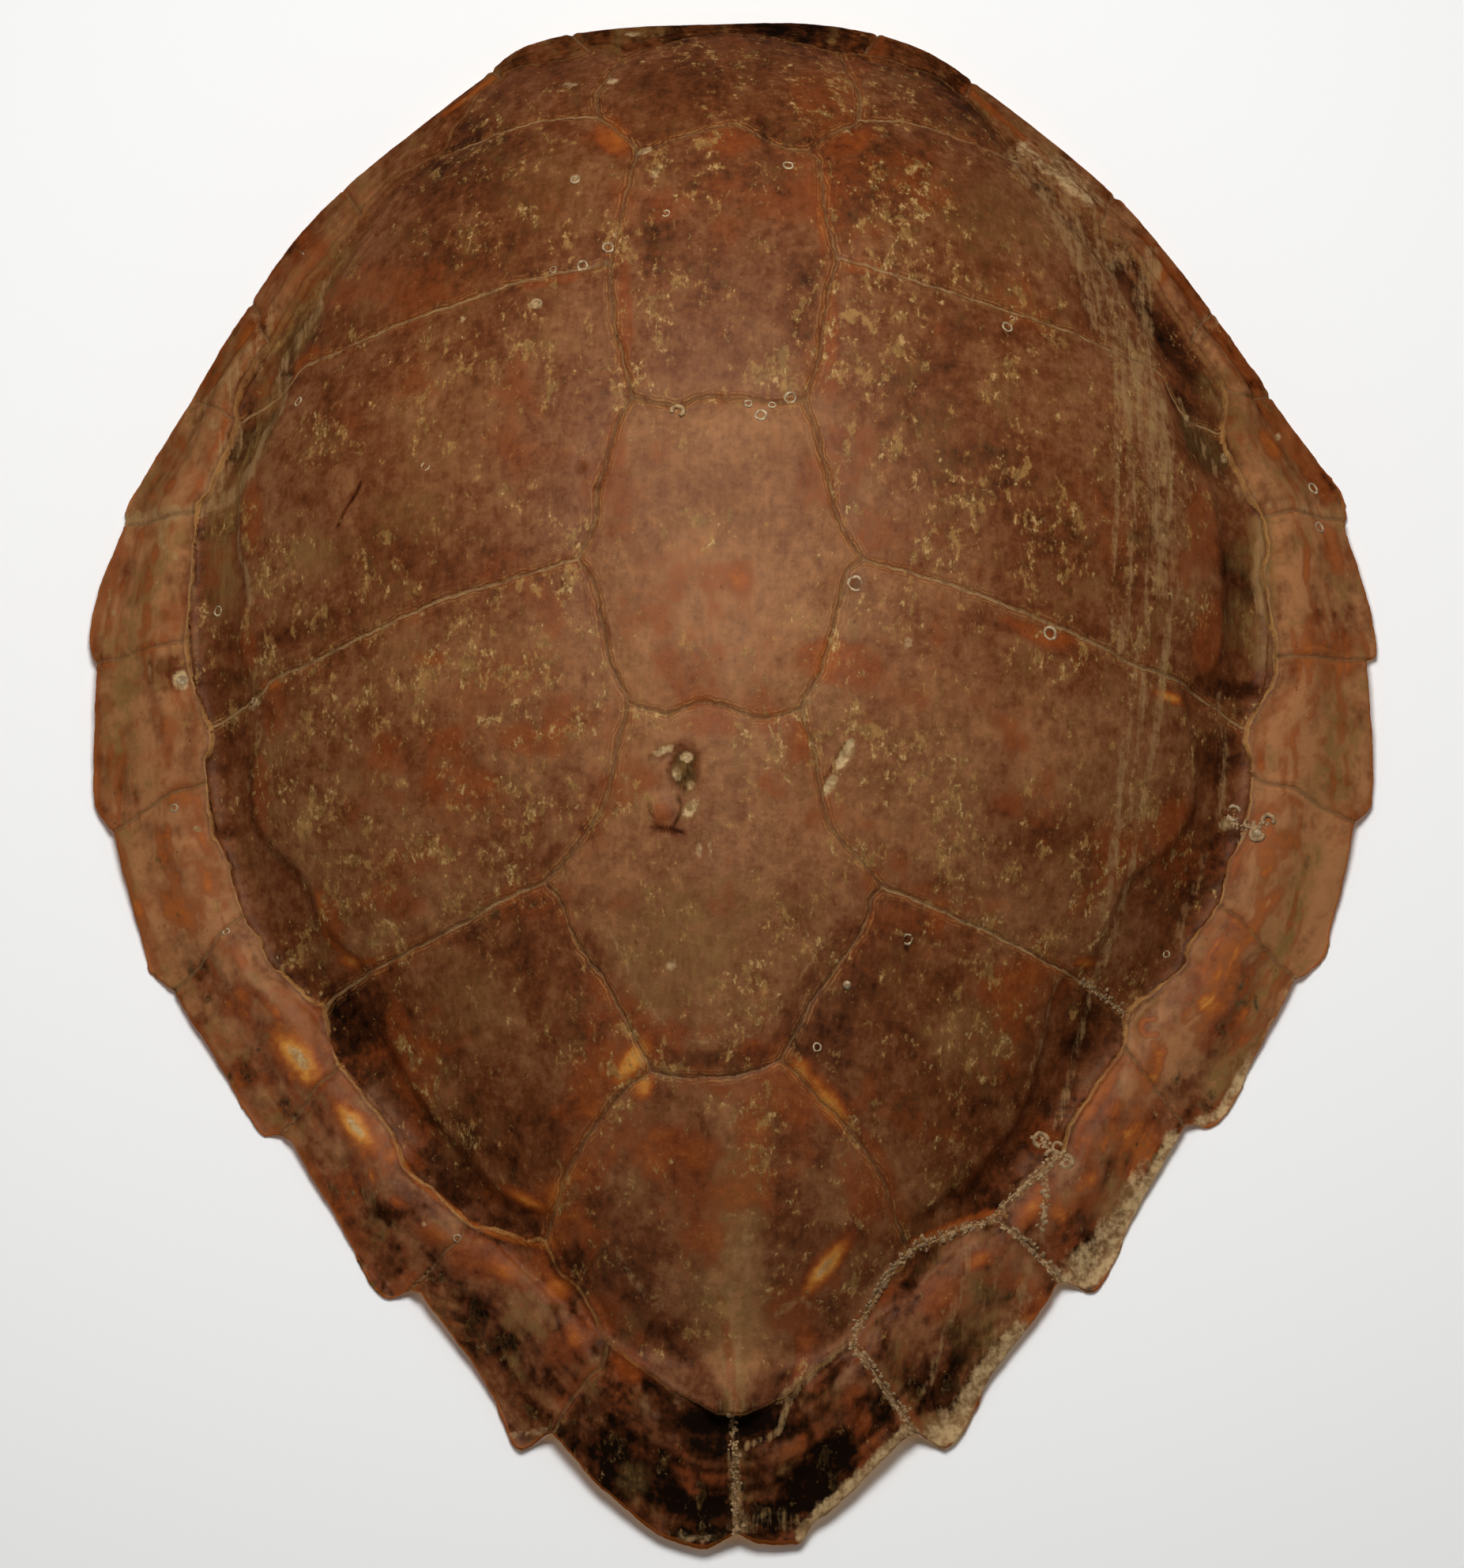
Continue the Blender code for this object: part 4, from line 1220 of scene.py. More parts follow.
def mesh_object(name: str, places: Array, quads: Array, values: dict[str, Array],
                sharp: Array | None = None) -> Piece:
    """A smooth-shaded mesh object made of quads.

    Args:
        name: the piece's name.
        places: rows of x, y, z.
        quads: rows of four vertex numbers, counter-clockwise seen from outside.
        values: numbers kept at each vertex, by name.
        sharp: pairs of vertices whose edge isn't shaded over.

    Returns:
        The object, linked to the scene.
    """
    mesh = bpy.data.meshes.new(name)
    mesh.vertices.add(len(places))
    mesh.vertices.foreach_set("co", places.astype(np.float32).ravel())
    mesh.loops.add(quads.size)
    mesh.loops.foreach_set("vertex_index", quads.astype(np.int32).ravel())
    mesh.polygons.add(len(quads))
    mesh.polygons.foreach_set("loop_start", np.arange(0, quads.size, 4, dtype=np.int32))
    mesh.update(calc_edges=True)
    mesh.validate()
    mesh.shade_smooth()
    for key, numbers in values.items():
        layer = mesh.attributes.new(key, "FLOAT", "POINT")
        layer.data.foreach_set("value", numbers.astype(np.float32))
    if sharp is not None and len(sharp):
        ends = np.empty(len(mesh.edges) * 2, np.int32)
        mesh.edges.foreach_get("vertices", ends)
        keys = [np.sort(pairs, axis=1).astype(np.int64) @ (len(places), 1)
                for pairs in (ends.reshape(-1, 2), sharp)]
        flags = np.isin(*keys)
        mesh.attributes.new("sharp_edge", "BOOLEAN", "EDGE").data.foreach_set("value", flags)
    return linked(name, mesh)


def border_of(quads: Array, count: int) -> Array:
    """The border of a patch.

    Args:
        quads: its faces, as rows of four vertex numbers.
        count: how many vertices there are.

    Returns:
        The edges that only one face has, each running the way that this face does.
    """
    edges = np.concatenate([quads[:, [k, (k + 1) % 4]] for k in range(4)]).astype(np.int64)
    low, high = edges.min(1), edges.max(1)
    _, first, times = np.unique(low * count + high, return_index=True, return_counts=True)
    return edges[first[times == 1]]


@dataclass
class PlateCutter:
    """Cuts the fine grid into closed horn plates."""

    horn: float = 2.0 * MM          # thickness of the plates on the dome
    brim_wall: float = 6.5 * MM     # the brim's plates go right through the wall
    rim_round: float = 0.9 * MM     # how far the rim's edge is rounded out
    map_split: float = 0.80         # share of the bake map given to the outer face
    map_wall: float = 0.011         # and to each half of the wall

    def cut(self, grid: FineGrid, plate: Plate, number: int, tops: Array,
            values: dict[str, Array]) -> Piece:
        """Makes one plate.

        Args:
            grid: the fine grid.
            plate: which plate it is.
            number: its number on the scute map.
            tops: the grid's vertices with the relief added.
            values: what is painted on them.

        Returns:
            The plate as a closed mesh.
        """
        faces = grid.faces[grid.face_plate == number]
        used, flat = np.unique(faces, return_inverse=True)
        quads = flat.reshape(-1, 4)
        top, outward = tops[used], grid.outward[used]
        thick = self.brim_wall if plate.row in (Row.BRIM, Row.TAIL, Row.NUCHAL) else self.horn
        bottom = top - outward * thick
        bottom[:, 2] = np.maximum(bottom[:, 2], 0.0)
        count = len(used)
        border = border_of(quads, count)
        ring = np.unique(border)
        level = unit(outward[ring] * (1.0, 1.0, 0.0))
        rounded = np.where(grid.on_rim[used[ring]], self.rim_round, 0.0)[:, None]
        middle = (top[ring] + bottom[ring]) / 2 + level * rounded
        a, b = border.T
        mid_a, mid_b = (np.searchsorted(ring, ends) + 2 * count for ends in (a, b))
        walls = np.concatenate((np.column_stack((a, mid_a, mid_b, b)),
                                np.column_stack((mid_a, a + count, b + count, mid_b))))
        everything = np.concatenate((quads, quads[:, ::-1] + count, walls))
        painted = {key: np.concatenate((numbers[used], numbers[used], numbers[used[ring]]))
                   for key, numbers in values.items()}
        half = np.full(len(ring), 0.35)
        painted["under"] = np.concatenate((np.zeros(count), np.ones(count), half))
        inner = ~(grid.on_rim[used[a]] & grid.on_rim[used[b]])
        sharp = np.concatenate((border[inner], border[inner] + count))
        places = np.concatenate((top, bottom, middle))
        made = mesh_object(plate.name, places, everything, painted, sharp)
        self.lay_map(made, places[:, :2], len(quads), len(walls) // 2)
        return made

    def lay_map(self, piece: Piece, plan: Array, faces: int, half: int) -> None:
        """Gives a plate a map for baking: the outer face large, the inner face and the walls beside it.

        Args:
            piece: the plate.
            plan: its vertices in plan.
            faces: how many faces its outer side has, and its inner side too.
            half: how many its wall has above the middle, and below it too.
        """
        mesh, split, wall, margin, in_row = piece.data, self.map_split, self.map_wall, 0.002, 400
        corners = np.empty(len(mesh.loops), np.int32)
        mesh.loops.foreach_get("vertex_index", corners)
        flat = (plan - plan.min(0)) / np.ptp(plan, axis=0).max()
        places = flat[corners].reshape(-1, 4, 2)
        outer = margin + places[:faces] * (split - 2 * margin)
        inner = margin + places[faces:2 * faces] * (1 - split - 2 * margin) + (split, 0.0)
        along = (np.arange(half) % in_row) / in_row * split
        up = split + 0.01 + 0.025 * (np.arange(half) // in_row)
        across, above = np.array((0.0, 0.0, 1.0, 1.0)) * split / in_row, np.array((0.0, wall, wall, 0.0))
        strips = [np.stack((along[:, None] + across, (up + wall * part)[:, None] + above), axis=-1)
                  for part in (0, 1)]
        layer = mesh.uv_layers.new(name=BAKE_MAP)
        layer.uv.foreach_set("vector", np.concatenate((outer, inner, *strips)).astype(np.float32).ravel())


@dataclass
class HornPaint:
    """What is painted on the horn at each vertex of the fine grid; shares run from 0 to 1."""

    grid: FineGrid
    plates: list[Plate]
    strip: Array                                    # each vertex's share in the strip inside the brim
    broad: Clouds = Clouds(110, 105, 501)           # light and dark, at three sizes
    middling: Clouds = Clouds(26, 30, 502)
    small: Clouds = Clouds(9, 12, 505, 3)
    blots: Clouds = Clouds(24, 34, 504)             # dark stains on the brim
    shades: Clouds = Clouds(17, 21, 516)
    clusters: Clouds = Clouds(60, 60, 503, 3)       # of flakes
    clumps: Clouds = Clouds(17, 22, 511, 3)
    thin_seams: Clouds = Clouds(34, 34, 507, 3)     # where thin horn glows
    warm: Clouds = Clouds(44, 52, 506)
    warm_broad: Clouds = Clouds(130, 120, 517, 2)
    mottles: Clouds = Clouds(19, 24, 515)
    lit: Clouds = Clouds(34, 40, 509, 3)
    patches: Clouds = Clouds(27, 31, 508)           # of the olive film
    bends: Clouds = Clouds(30, 30, 512, 2)          # of the growth lines

    def __post_init__(self) -> None:
        """Lays the markings and works out where on the shell each vertex lies."""
        grid, self.values = self.grid, self.grid.seam_values()
        self.seam_mm, self.brim_mm = self.values["seam_mm"], self.values["brim_mm"]
        self.values |= Painter(grid).lay_all()
        turned = np.abs(grid.bearing)
        self.on_brim = soft_step(0.0, 0.08, grid.across)
        self.side, self.rear = soft_step(0.5, 1.0, turned), soft_step(1.6, 2.35, turned)
        self.front = soft_step(0.9, 0.35, turned) * soft_step(-0.22, 0.1, grid.across)
        self.off_tail, self.off_tip = soft_step(2.85, 2.45, turned), soft_step(3.0, 2.6, turned)
        self.tailward = soft_step(1050.0, 1400.0, grid.row)
        # the brim's swell, its outer part, and both sides of the seam along it
        self.crest = np.exp(-((grid.across - 0.36) / 0.22) ** 2) * self.side
        self.outer = self.side * self.on_brim * soft_step(0.30, 0.62, grid.across)
        self.band = np.exp(-self.brim_mm / 26.0) + self.on_brim * self.side
        # clouds drawn out along the brim and along the seams
        self.flow = cloudy(grid.bearing * 13.0, self.brim_mm / 4.2, 513, 4)
        self.lines = cloudy(self.seam_mm / 2.4, (grid.column + 0.6 * grid.row) / 46.0, 514, 4)

    def spread(self, of_plates: list[float]) -> Array:
        """Gives every vertex the value of its plate.

        Args:
            of_plates: a value for each plate.

        Returns:
            The value at each vertex.
        """
        values = np.zeros(len(self.grid.column))
        for number, value in enumerate(of_plates):
            values[np.unique(self.grid.faces[self.grid.face_plate == number])] = value
        return values

    def shade(self) -> None:
        """Makes horn light and dark: by plate and place, in clouds, along the brim, beside the seams, with
        painted highlights and shade.
        """
        grid, values, on_brim, rear = self.grid, self.values, self.on_brim, self.rear
        stain = self.outer * soft_step(-0.05, 0.45, self.blots.over(grid)) * (0.45 + 0.55 * rear)
        tone = self.spread([plate.tone for plate in self.plates])
        # painted highlight along the brim's crest, less at the rear; painted shade with darker horn in the
        # sunken strip; dark stains
        tone += 0.34 * self.crest * (1.0 - 0.6 * rear) - (0.16 + 0.04 * rear) * self.strip - 0.34 * stain
        # painted shade in the rear gutter, just inside the brim's seam
        tone -= 0.22 * rear * (grid.across < 0) * np.exp(-self.brim_mm / 17.0)
        tone += 0.42 * self.broad.over(grid)
        tone += (0.28 + 0.14 * self.tailward + 0.34 * on_brim) * self.middling.over(grid)
        tone += (0.18 + 0.16 * on_brim) * self.small.over(grid)
        tone += (0.34 + 0.24 * on_brim) * np.minimum(self.band, 1.0) * self.flow
        tone += 0.30 * np.exp(-self.seam_mm / 13.0) * self.lines
        # painted highlights, and darker horn with painted shade, from the markings
        tone += 0.8 * values.pop(Mark.LIGHT.value) - 0.85 * values.pop(Mark.DARK.value)
        self.tone, values["stain"] = tone, stain
        # painted shade on the steep front; darker in clouds over the brim's outer part
        shaded = soft_step(0.05, 0.5, self.shades.over(grid))
        values["tone"] = tone - 0.19 * self.front - 0.30 * self.outer * shaded
        values["sway"] = 5.5 * self.bends.over(grid)

    def dull(self) -> None:
        """Dulls the steep front, the brim's sides and dark horn."""
        steep = np.hypot(self.grid.outward[:, 0], np.maximum(self.grid.outward[:, 1], 0.0))
        dull = 0.85 * soft_step(0.22, 0.6, steep) + 0.7 * self.on_brim * (1.0 - self.rear)
        dark = soft_step(0.05, -0.45, self.values["tone"])
        self.values["dull"] = np.clip(np.maximum(dull, 0.9 * dark), 0.0, 1.0)

    def orange_and_highlight(self) -> None:
        """Makes thin horn orange beside the seams, in clouds, and most on the brim, and paints a highlight
        along the brim's crest.
        """
        grid, values, on_brim, side = self.grid, self.values, self.on_brim, self.side
        near_seam = np.exp(-self.seam_mm / 6.0) * soft_step(-0.2, 0.5, self.thin_seams.over(grid))
        warm = 0.7 * self.warm.over(grid) + 0.6 * self.warm_broad.over(grid)
        orange_and_highlight = (0.38 + 0.18 * self.rear) * soft_step(0.0, 0.55, warm)
        orange_and_highlight += (0.50 + 0.3 * self.tailward) * near_seam
        orange_and_highlight += 0.20 * self.tailward * soft_step(0.1, 0.9, warm + 0.3 * self.flow)
        round_brim = cloudy(grid.bearing * 9.0, self.brim_mm / 5.5, 518, 4)
        mottled = 0.34 * soft_step(0.0, 0.6, self.mottles.over(grid))
        orange_and_highlight += on_brim * side * self.off_tail * (mottled + 0.50 * soft_step(0.05, 0.55, round_brim))
        # painted highlight along the brim's crest, most at the rear, in clouds
        lit = soft_step(-0.1, 0.7, self.lit.over(grid) + 0.45 * self.flow)
        orange_and_highlight += 0.95 * (self.crest * self.rear + 0.16 * on_brim * side) * self.off_tip * lit
        orange_and_highlight = np.maximum(orange_and_highlight, values.pop(Mark.ORANGE.value)) * soft_step(-0.7, 0.2, self.tone)
        values["orange_and_highlight"] = np.maximum(orange_and_highlight, 1.75 * values.pop(Mark.AMBER.value))

    def soil(self) -> None:
        """Lays flakes in clusters, and patches of a thin olive film."""
        grid, values, film = self.grid, self.values, Mark.FILM.value
        thick = self.clusters.over(grid) + 0.7 * self.clumps.over(grid)
        flecks = self.spread([plate.flecks for plate in self.plates]) * (0.72 + 0.85 * thick)
        flecks = np.clip(flecks - 0.2 * self.strip, 0.0, 1.0) * soft_step(-1.1, -0.1, self.tone)
        patch = soft_step(0.0, 0.6, self.patches.over(grid) + 0.35 * np.minimum(self.band, 1.0) * self.flow)
        olive = np.maximum(0.30 * flecks, 0.46 * self.on_brim) * patch * soft_step(-0.6, 0.1, self.tone)
        drawn_out = np.where(self.band > 0.35, self.flow, self.lines)
        laid = values[film] * np.clip(0.85 + 0.9 * drawn_out, 0.1, 1.3)
        values[film] = np.clip(np.maximum(laid, olive), 0.0, 1.0)
        values["flecks"] = np.maximum(flecks, 1.25 * values["stain"])

    def all_values(self) -> dict[str, Array]:
        """Paints everything.

        Returns:
            Numbers at the vertices, by the names under which the material reads them.
        """
        for paint in (self.shade, self.dull, self.orange_and_highlight, self.soil):
            paint()
        return self.values


@dataclass
class HornPlates:
    """The forty horn plates: their relief and their meshes, with what is painted on them."""

    relief: Relief = field(default_factory=Relief)
    cutter: PlateCutter = field(default_factory=PlateCutter)
    lowest: float = 1.6 * MM        # the outer face comes no nearer to the floor

    def build(self, grid: FineGrid, plates: list[Plate], material: Material) -> Array:
        """Builds and dresses every plate.

        Args:
            grid: the fine grid.
            plates: the plates, in the scute map's order.
            material: the horn's material.

        Returns:
            The vertices with the relief added, for what is set on the plates.
        """
        values = HornPaint(grid, plates, self.relief.shoulder(grid)).all_values()
        low = self.relief.stand_off(grid, values["seam_mm"], values["brim_mm"])
        last = np.unique(grid.faces[grid.face_plate == ScuteMap.LAST_MIDDLE])
        high = low.copy()
        high[last] += self.relief.raised_tip(grid)[last]
        for number, plate in enumerate(plates):
            raised = high if number == ScuteMap.LAST_MIDDLE else low
            tops = grid.place + grid.outward * raised[:, None]
            tops[:, 2] = np.maximum(tops[:, 2], self.lowest)
            dress(self.cutter.cut(grid, plate, number, tops, values), material)
        return grid.place + grid.outward * high[:, None]


# ---- node graphs ----
class Value:
    """A number or colour that a node gives out, open to sums."""

    def __init__(self, graph: "Graph", socket: bpy.types.NodeSocket) -> None:
        """Takes the graph that further nodes go into, and the socket."""
        self.graph, self.socket = graph, socket

    def __add__(self, other: "Given") -> "Value":
        """The sum."""
        return self.graph.calc("ADD", self, other)

    def __sub__(self, other: "Given") -> "Value":
        """The difference."""
        return self.graph.calc("SUBTRACT", self, other)

    def __mul__(self, other: "Given") -> "Value":
        """The product."""
        return self.graph.calc("MULTIPLY", self, other)

    def above(self, other: "Given") -> "Value":
        """The larger of the two."""
        return self.graph.calc("MAXIMUM", self, other)

    def ramp(self, low: float, high: float, start: float = 0.0, end: float = 1.0,
             way: str = "SMOOTHSTEP") -> "Value":
        """This value carried smoothly from one range to another, and held at its ends."""
        return self.graph.value("ShaderNodeMapRange", {0: self, 1: low, 2: high, 3: start, 4: end},
                                interpolation_type=way)

    def under(self, share: "Given", cover: "Given") -> "Value":
        """This colour with a share of another laid over it."""
        return self.graph.mix(share, self, cover)


Given = Value | bpy.types.NodeSocket | float | tuple        # what a node's input takes


class Graph:
    """Adds linked nodes to one node tree."""

    def __init__(self, tree: Tree) -> None:
        """Takes the tree that the nodes go into."""
        self.tree = tree

    def feed(self, node: bpy.types.Node, inputs: dict) -> None:
        """Sets a node's inputs.

        Args:
            node: the node.
            inputs: by socket name or number, a constant or what is linked to it.
        """
        for key, given in inputs.items():
            given = given.socket if isinstance(given, Value) else given
            if isinstance(given, bpy.types.NodeSocket):
                self.tree.links.new(given, node.inputs[key])
            else:
                node.inputs[key].default_value = given

    def add(self, kind: str, inputs: dict | None = None, **settings: object) -> bpy.types.Node:
        """Adds a node.

        Args:
            kind: the node's type name.
            inputs: what its inputs get, as feed() takes it.
            settings: the node's own properties.

        Returns:
            The node.
        """
        node = self.tree.nodes.new(kind)
        for key, setting in settings.items():
            setattr(node, key, setting)
        self.feed(node, inputs or {})
        return node

    def value(self, kind: str, inputs: dict | None = None, output: int | str = 0,
              **settings: object) -> Value:
        """Adds a node and takes one of its outputs."""
        return Value(self, self.add(kind, inputs, **settings).outputs[output])

    def group(self, tree: Tree, inputs: dict) -> dict[str, Value]:
        """Adds a shared group and takes all its outputs."""
        node = self.add("ShaderNodeGroup", inputs, node_tree=tree)
        return {socket.name: Value(self, socket) for socket in node.outputs}

    def calc(self, operation: str, a: Given, b: Given, clamp: bool = False) -> Value:
        """One sum of two numbers."""
        return self.value("ShaderNodeMath", {0: a, 1: b}, operation=operation, use_clamp=clamp)

    def mix(self, share: Given, first: Given, second: Given) -> Value:
        """Two colours mixed by a share."""
        first, second = ((*c, 1.0) if isinstance(c, tuple) else c for c in (first, second))
        return self.value("ShaderNodeMix", {0: share, 6: first, 7: second}, 2, data_type="RGBA")

    def place(self) -> Value:
        """Where a point of the surface is, in the piece's own coordinates."""
        return self.value("ShaderNodeTexCoord", output="Object")

    def noise(self, place: Given, scale: Given, detail: float = 4.0, rough: float = 0.55,
              twist: float = 0.0) -> Value:
        """Cloudy values over the surface, about 0.5."""
        return self.value("ShaderNodeTexNoise", {"Vector": place, "Scale": scale, "Detail": detail,
                                                 "Roughness": rough, "Distortion": twist}, "Fac")

    def kept(self, name: str) -> Value:
        """A number kept at the mesh's vertices."""
        return self.value("ShaderNodeAttribute", output="Fac", attribute_name=name)

    def stretch(self, place: Given, *scale: float) -> Value:
        """Coordinates with a scale of their own along each axis."""
        return self.value("ShaderNodeMapping", {"Vector": place, "Scale": scale})

    def bump(self, height: Value, strength: float) -> Value:
        """A direction bent by a height given in millimetres."""
        return self.value("ShaderNodeBump", {"Height": height, "Distance": MM, "Strength": strength})


def rgb(red: int, green: int, blue: int) -> tuple[float, float, float]:
    """A colour as a render needs it, from 0 to 255 screen values."""
    return tuple(c / 12.92 if c <= 0.04045 else ((c + 0.055) / 1.055) ** 2.4
                 for c in (red / 255, green / 255, blue / 255))


def new_material(name: str) -> tuple[Material, Graph, bpy.types.Node]:
    """An empty material.

    Args:
        name: its name.

    Returns:
        The material, its graph and its shader.
    """
    made = bpy.data.materials.new(name)
    made.use_nodes = True
    return made, Graph(made.node_tree), made.node_tree.nodes["Principled BSDF"]


def new_group(name: str, kind: str, inputs: dict,
              outputs: dict[str, str]) -> tuple[Graph, dict[str, Value], bpy.types.Node]:
    """An empty node group.

    Args:
        name: its name.
        kind: its tree type.
        inputs: by name, a first value or, where there is none, the kind of socket.
        outputs: by name, the kind of socket.

    Returns:
        Its graph, what its inputs give by name, and its output node.
    """
    tree = bpy.data.node_groups.new(name, kind)
    for key, first in inputs.items():
        socket = first if isinstance(first, str) else "Int" if isinstance(first, int) else "Float"
        made = tree.interface.new_socket(key, in_out="INPUT", socket_type=f"NodeSocket{socket}")
        if not isinstance(first, str):
            made.default_value = first
    for key, socket in outputs.items():
        tree.interface.new_socket(key, in_out="OUTPUT", socket_type=f"NodeSocket{socket}")
    graph = Graph(tree)
    given = {socket.name: Value(graph, socket) for socket in graph.add("NodeGroupInput").outputs}
    return graph, given, graph.add("NodeGroupOutput")


def fleck_group() -> Tree:
    """Small torn flakes with bright cores, and dark pits between them.

    Returns:
        The group, which horn and bone share.
    """
    graph, given, out = new_group(
        "torn_flakes", "ShaderNodeTree", {"Place": "Vector", "Flake scale": 290.0, "Amount": 0.5},
        {"Mask": "Float", "Spot": "Float", "Pit": "Float"})
    drawn = graph.stretch(given["Place"], 1.0, 0.62, 0.8)
    scale, amount = given["Flake scale"], given["Amount"]
    fine = graph.noise(drawn, scale, 3.0, 0.74)
    wide = graph.noise(drawn, scale * 0.36, 3.0, 0.78)
    lift, there = amount * 0.165, amount.ramp(0.0, 0.2)
    near = (wide + lift * 0.6).ramp(0.50, 0.62, 0.12, 1.0)
    small = (fine + lift).ramp(0.66, 0.76) * near
    large = (wide + lift).ramp(0.69, 0.77)
    graph.feed(out, {"Pit": fine.ramp(0.36, 0.29) * wide.ramp(0.5, 0.4), "Mask": small.above(large) * there,
                     "Spot": (fine + lift).ramp(0.75, 0.80) * (there * near)})
    return graph.tree


def grain_group() -> Tree:
    """Fine unevenness of colour and surface at two finenesses.

    Returns:
        The group, which horn, bone and lime share.
    """
    graph, given, out = new_group(
        "fine_grain", "ShaderNodeTree", {"Place": "Vector", "Coarse scale": 60.0, "Fine scale": 420.0},
        {"Tone": "Float", "Height": "Float"})
    coarse = graph.noise(given["Place"], given["Coarse scale"], 2.0, 0.65)
    fine = graph.noise(given["Place"], given["Fine scale"], 3.0, 0.72)
    graph.feed(out, {"Tone": (coarse - 0.5) * 1.2 + (fine - 0.5) * 0.7, "Height": fine * 0.34})
    return graph.tree


@dataclass(frozen=True)
class HornFinish:
    """Dry keratin: reddish brown with darker clouds, orange where thin, tan flakes, silt and worn places,
    painted shade and highlights.
    """

    black: tuple = rgb(20, 11, 6)
    deep: tuple = rgb(56, 27, 12)
    brown: tuple = rgb(98, 52, 26)
    light: tuple = rgb(127, 82, 50)
    pink: tuple = rgb(156, 105, 66)
    rust: tuple = rgb(120, 54, 21)
    orange: tuple = rgb(166, 86, 28)
    amber: tuple = rgb(208, 144, 62)
    cream: tuple = rgb(186, 156, 112)
    worn: tuple = rgb(134, 104, 68)
    flake: tuple = rgb(156, 116, 64)
    film: tuple = rgb(122, 90, 49)
    spot: tuple = rgb(180, 144, 94)
    stained: tuple = rgb(58, 40, 20)
    silt: tuple = rgb(150, 116, 76)
    line: tuple = rgb(160, 114, 62)
    under: tuple = rgb(168, 128, 76)
    sheen: tuple = (1.0, 0.80, 0.62)
    roughness: float = 0.50
    shine: float = 0.14             # how strongly the surface mirrors

    def material(self, flakes: Tree, grain: Tree) -> Material:
        """Builds the material.

        Args:
            flakes: the group of torn flakes.
            grain: the group of fine grain.

        Returns:
            The material.
        """
        made, graph, surface = new_material("horn")
        place, kept = graph.place(), graph.kept
        grained = graph.group(grain, {"Place": place, "Coarse scale": 150.0})
        torn = graph.group(flakes, {"Place": place, "Amount": kept("flecks")})
        fine, stain = grained["Tone"], kept("stain")
        streak = graph.noise(graph.stretch(place, 1.0, 0.22, 0.5), 420.0, 3.0, 0.65)
        # the painted tone holds painted shade and highlights as well as the horn's own light and dark
        colour = self.tones(graph, kept("tone") + fine + (streak - 0.5) * 0.5)
        film = graph.calc("MULTIPLY", kept(Mark.FILM.value), (streak - fine).ramp(0.25, 0.70, 0.4, 1.5), True)
        # orange of thin horn, with the painted highlight along the brim's crest
        orange_and_highlight = kept("orange_and_highlight") + fine * 0.55
        rim = kept("across").ramp(0.975, 0.992, 0.0, 0.5)
        for share, cover in ((film, self.film), (orange_and_highlight.ramp(0.05, 0.60, 0.0, 0.62), self.rust),
                             (orange_and_highlight.ramp(0.45, 1.25, 0.0, 0.7).above(rim), self.orange),
                             (orange_and_highlight.ramp(0.95, 1.75, 0.0, 0.85), self.amber)):
            colour = colour.under(share, cover)
        colour = self.seam_bands(graph, colour, streak, fine).under(torn["Pit"] * 0.6, self.deep)
        flake = graph.mix((fine + streak).ramp(0.30, 0.72), self.film, self.flake)
        colour = colour.under(torn["Mask"] * 0.70, graph.mix(stain, flake, self.stained))
        colour = colour.under(torn["Spot"] * 0.75, graph.mix(stain, self.spot, self.black))
        silt = self.silt_mask(graph, place, kept(Mark.DUST.value), fine)
        worn, bare = ((kept(mark.value) + fine * 0.75).ramp(0.18, 0.85) for mark in (Mark.PALE, Mark.BARE))
        pale = (worn * streak.ramp(0.2, 0.6, 0.6, 0.95)).above(bare)
        bleached = graph.mix(fine.ramp(-0.22, 0.20), self.worn, self.cream)
        colour = self.seam_lines(graph, colour.under(silt, self.silt).under(pale, bleached), streak)
        matt = graph.calc("MAXIMUM", silt.above(pale), kept("dull"), True)
        graph.feed(surface, {
            "Base Color": colour.under(kept("under").ramp(0.5, 0.95), self.under),
            "Roughness": matt * 0.3 + (fine * 0.16 + self.roughness), "Specular Tint": (*self.sheen, 1.0),
            "Specular IOR Level": matt.ramp(0.0, 1.0, self.shine, 0.0),
            "Normal": graph.bump(grained["Height"], 1.0)})
        return made

    def tones(self, graph: Graph, tone: Value) -> Value:
        """The horn's own colour.

        Args:
            graph: where the nodes go.
            tone: from black over deep brown, brown and light brown to pinkish.

        Returns:
            The colour.
        """
        colour = graph.mix(tone.ramp(-1.0, -0.45), self.black, self.deep)
        for low, high, cover in ((-0.45, 0.12, self.brown), (0.12, 0.70, self.light),
                                 (0.66, 1.30, self.pink)):
            colour = colour.under(tone.ramp(low, high, way="LINEAR"), cover)
        return colour

    @staticmethod
    def silt_mask(graph: Graph, place: Value, dust: Value, fine: Value) -> Value:
        """Dried silt, torn along the way that the water ran."""
        run = graph.noise(graph.stretch(place, 1.0, 0.08, 0.3), 300.0, 3.0, 0.65)
        return (run + dust * 0.29 + fine * 0.40).ramp(0.55, 0.95) * dust.ramp(0.03, 0.5) * 0.78

    def seam_bands(self, graph: Graph, colour: Value, streak: Value, fine: Value) -> Value:
        """Bands of broken growth lines along the seams, tan and dark by turns.

        Args:
            graph: where the nodes go.
            colour: the horn's colour.
            streak, fine: what breaks the lines up.

        Returns:
            The colour with the bands laid on.
        """
        seam = graph.kept("seam_mm")
        wave = graph.calc("SINE", seam * 3.5 + (graph.kept("sway") + fine * 6.0), 0.0)
        broken = (streak + fine * 0.5).ramp(0.38, 0.60, 0.05, 1.0)
        band = seam.ramp(6.0, 1.0) * (broken * 0.72) * graph.kept("seam_band")
        return colour.under(band, graph.mix(wave.ramp(-0.3, 0.7), self.brown, self.line))

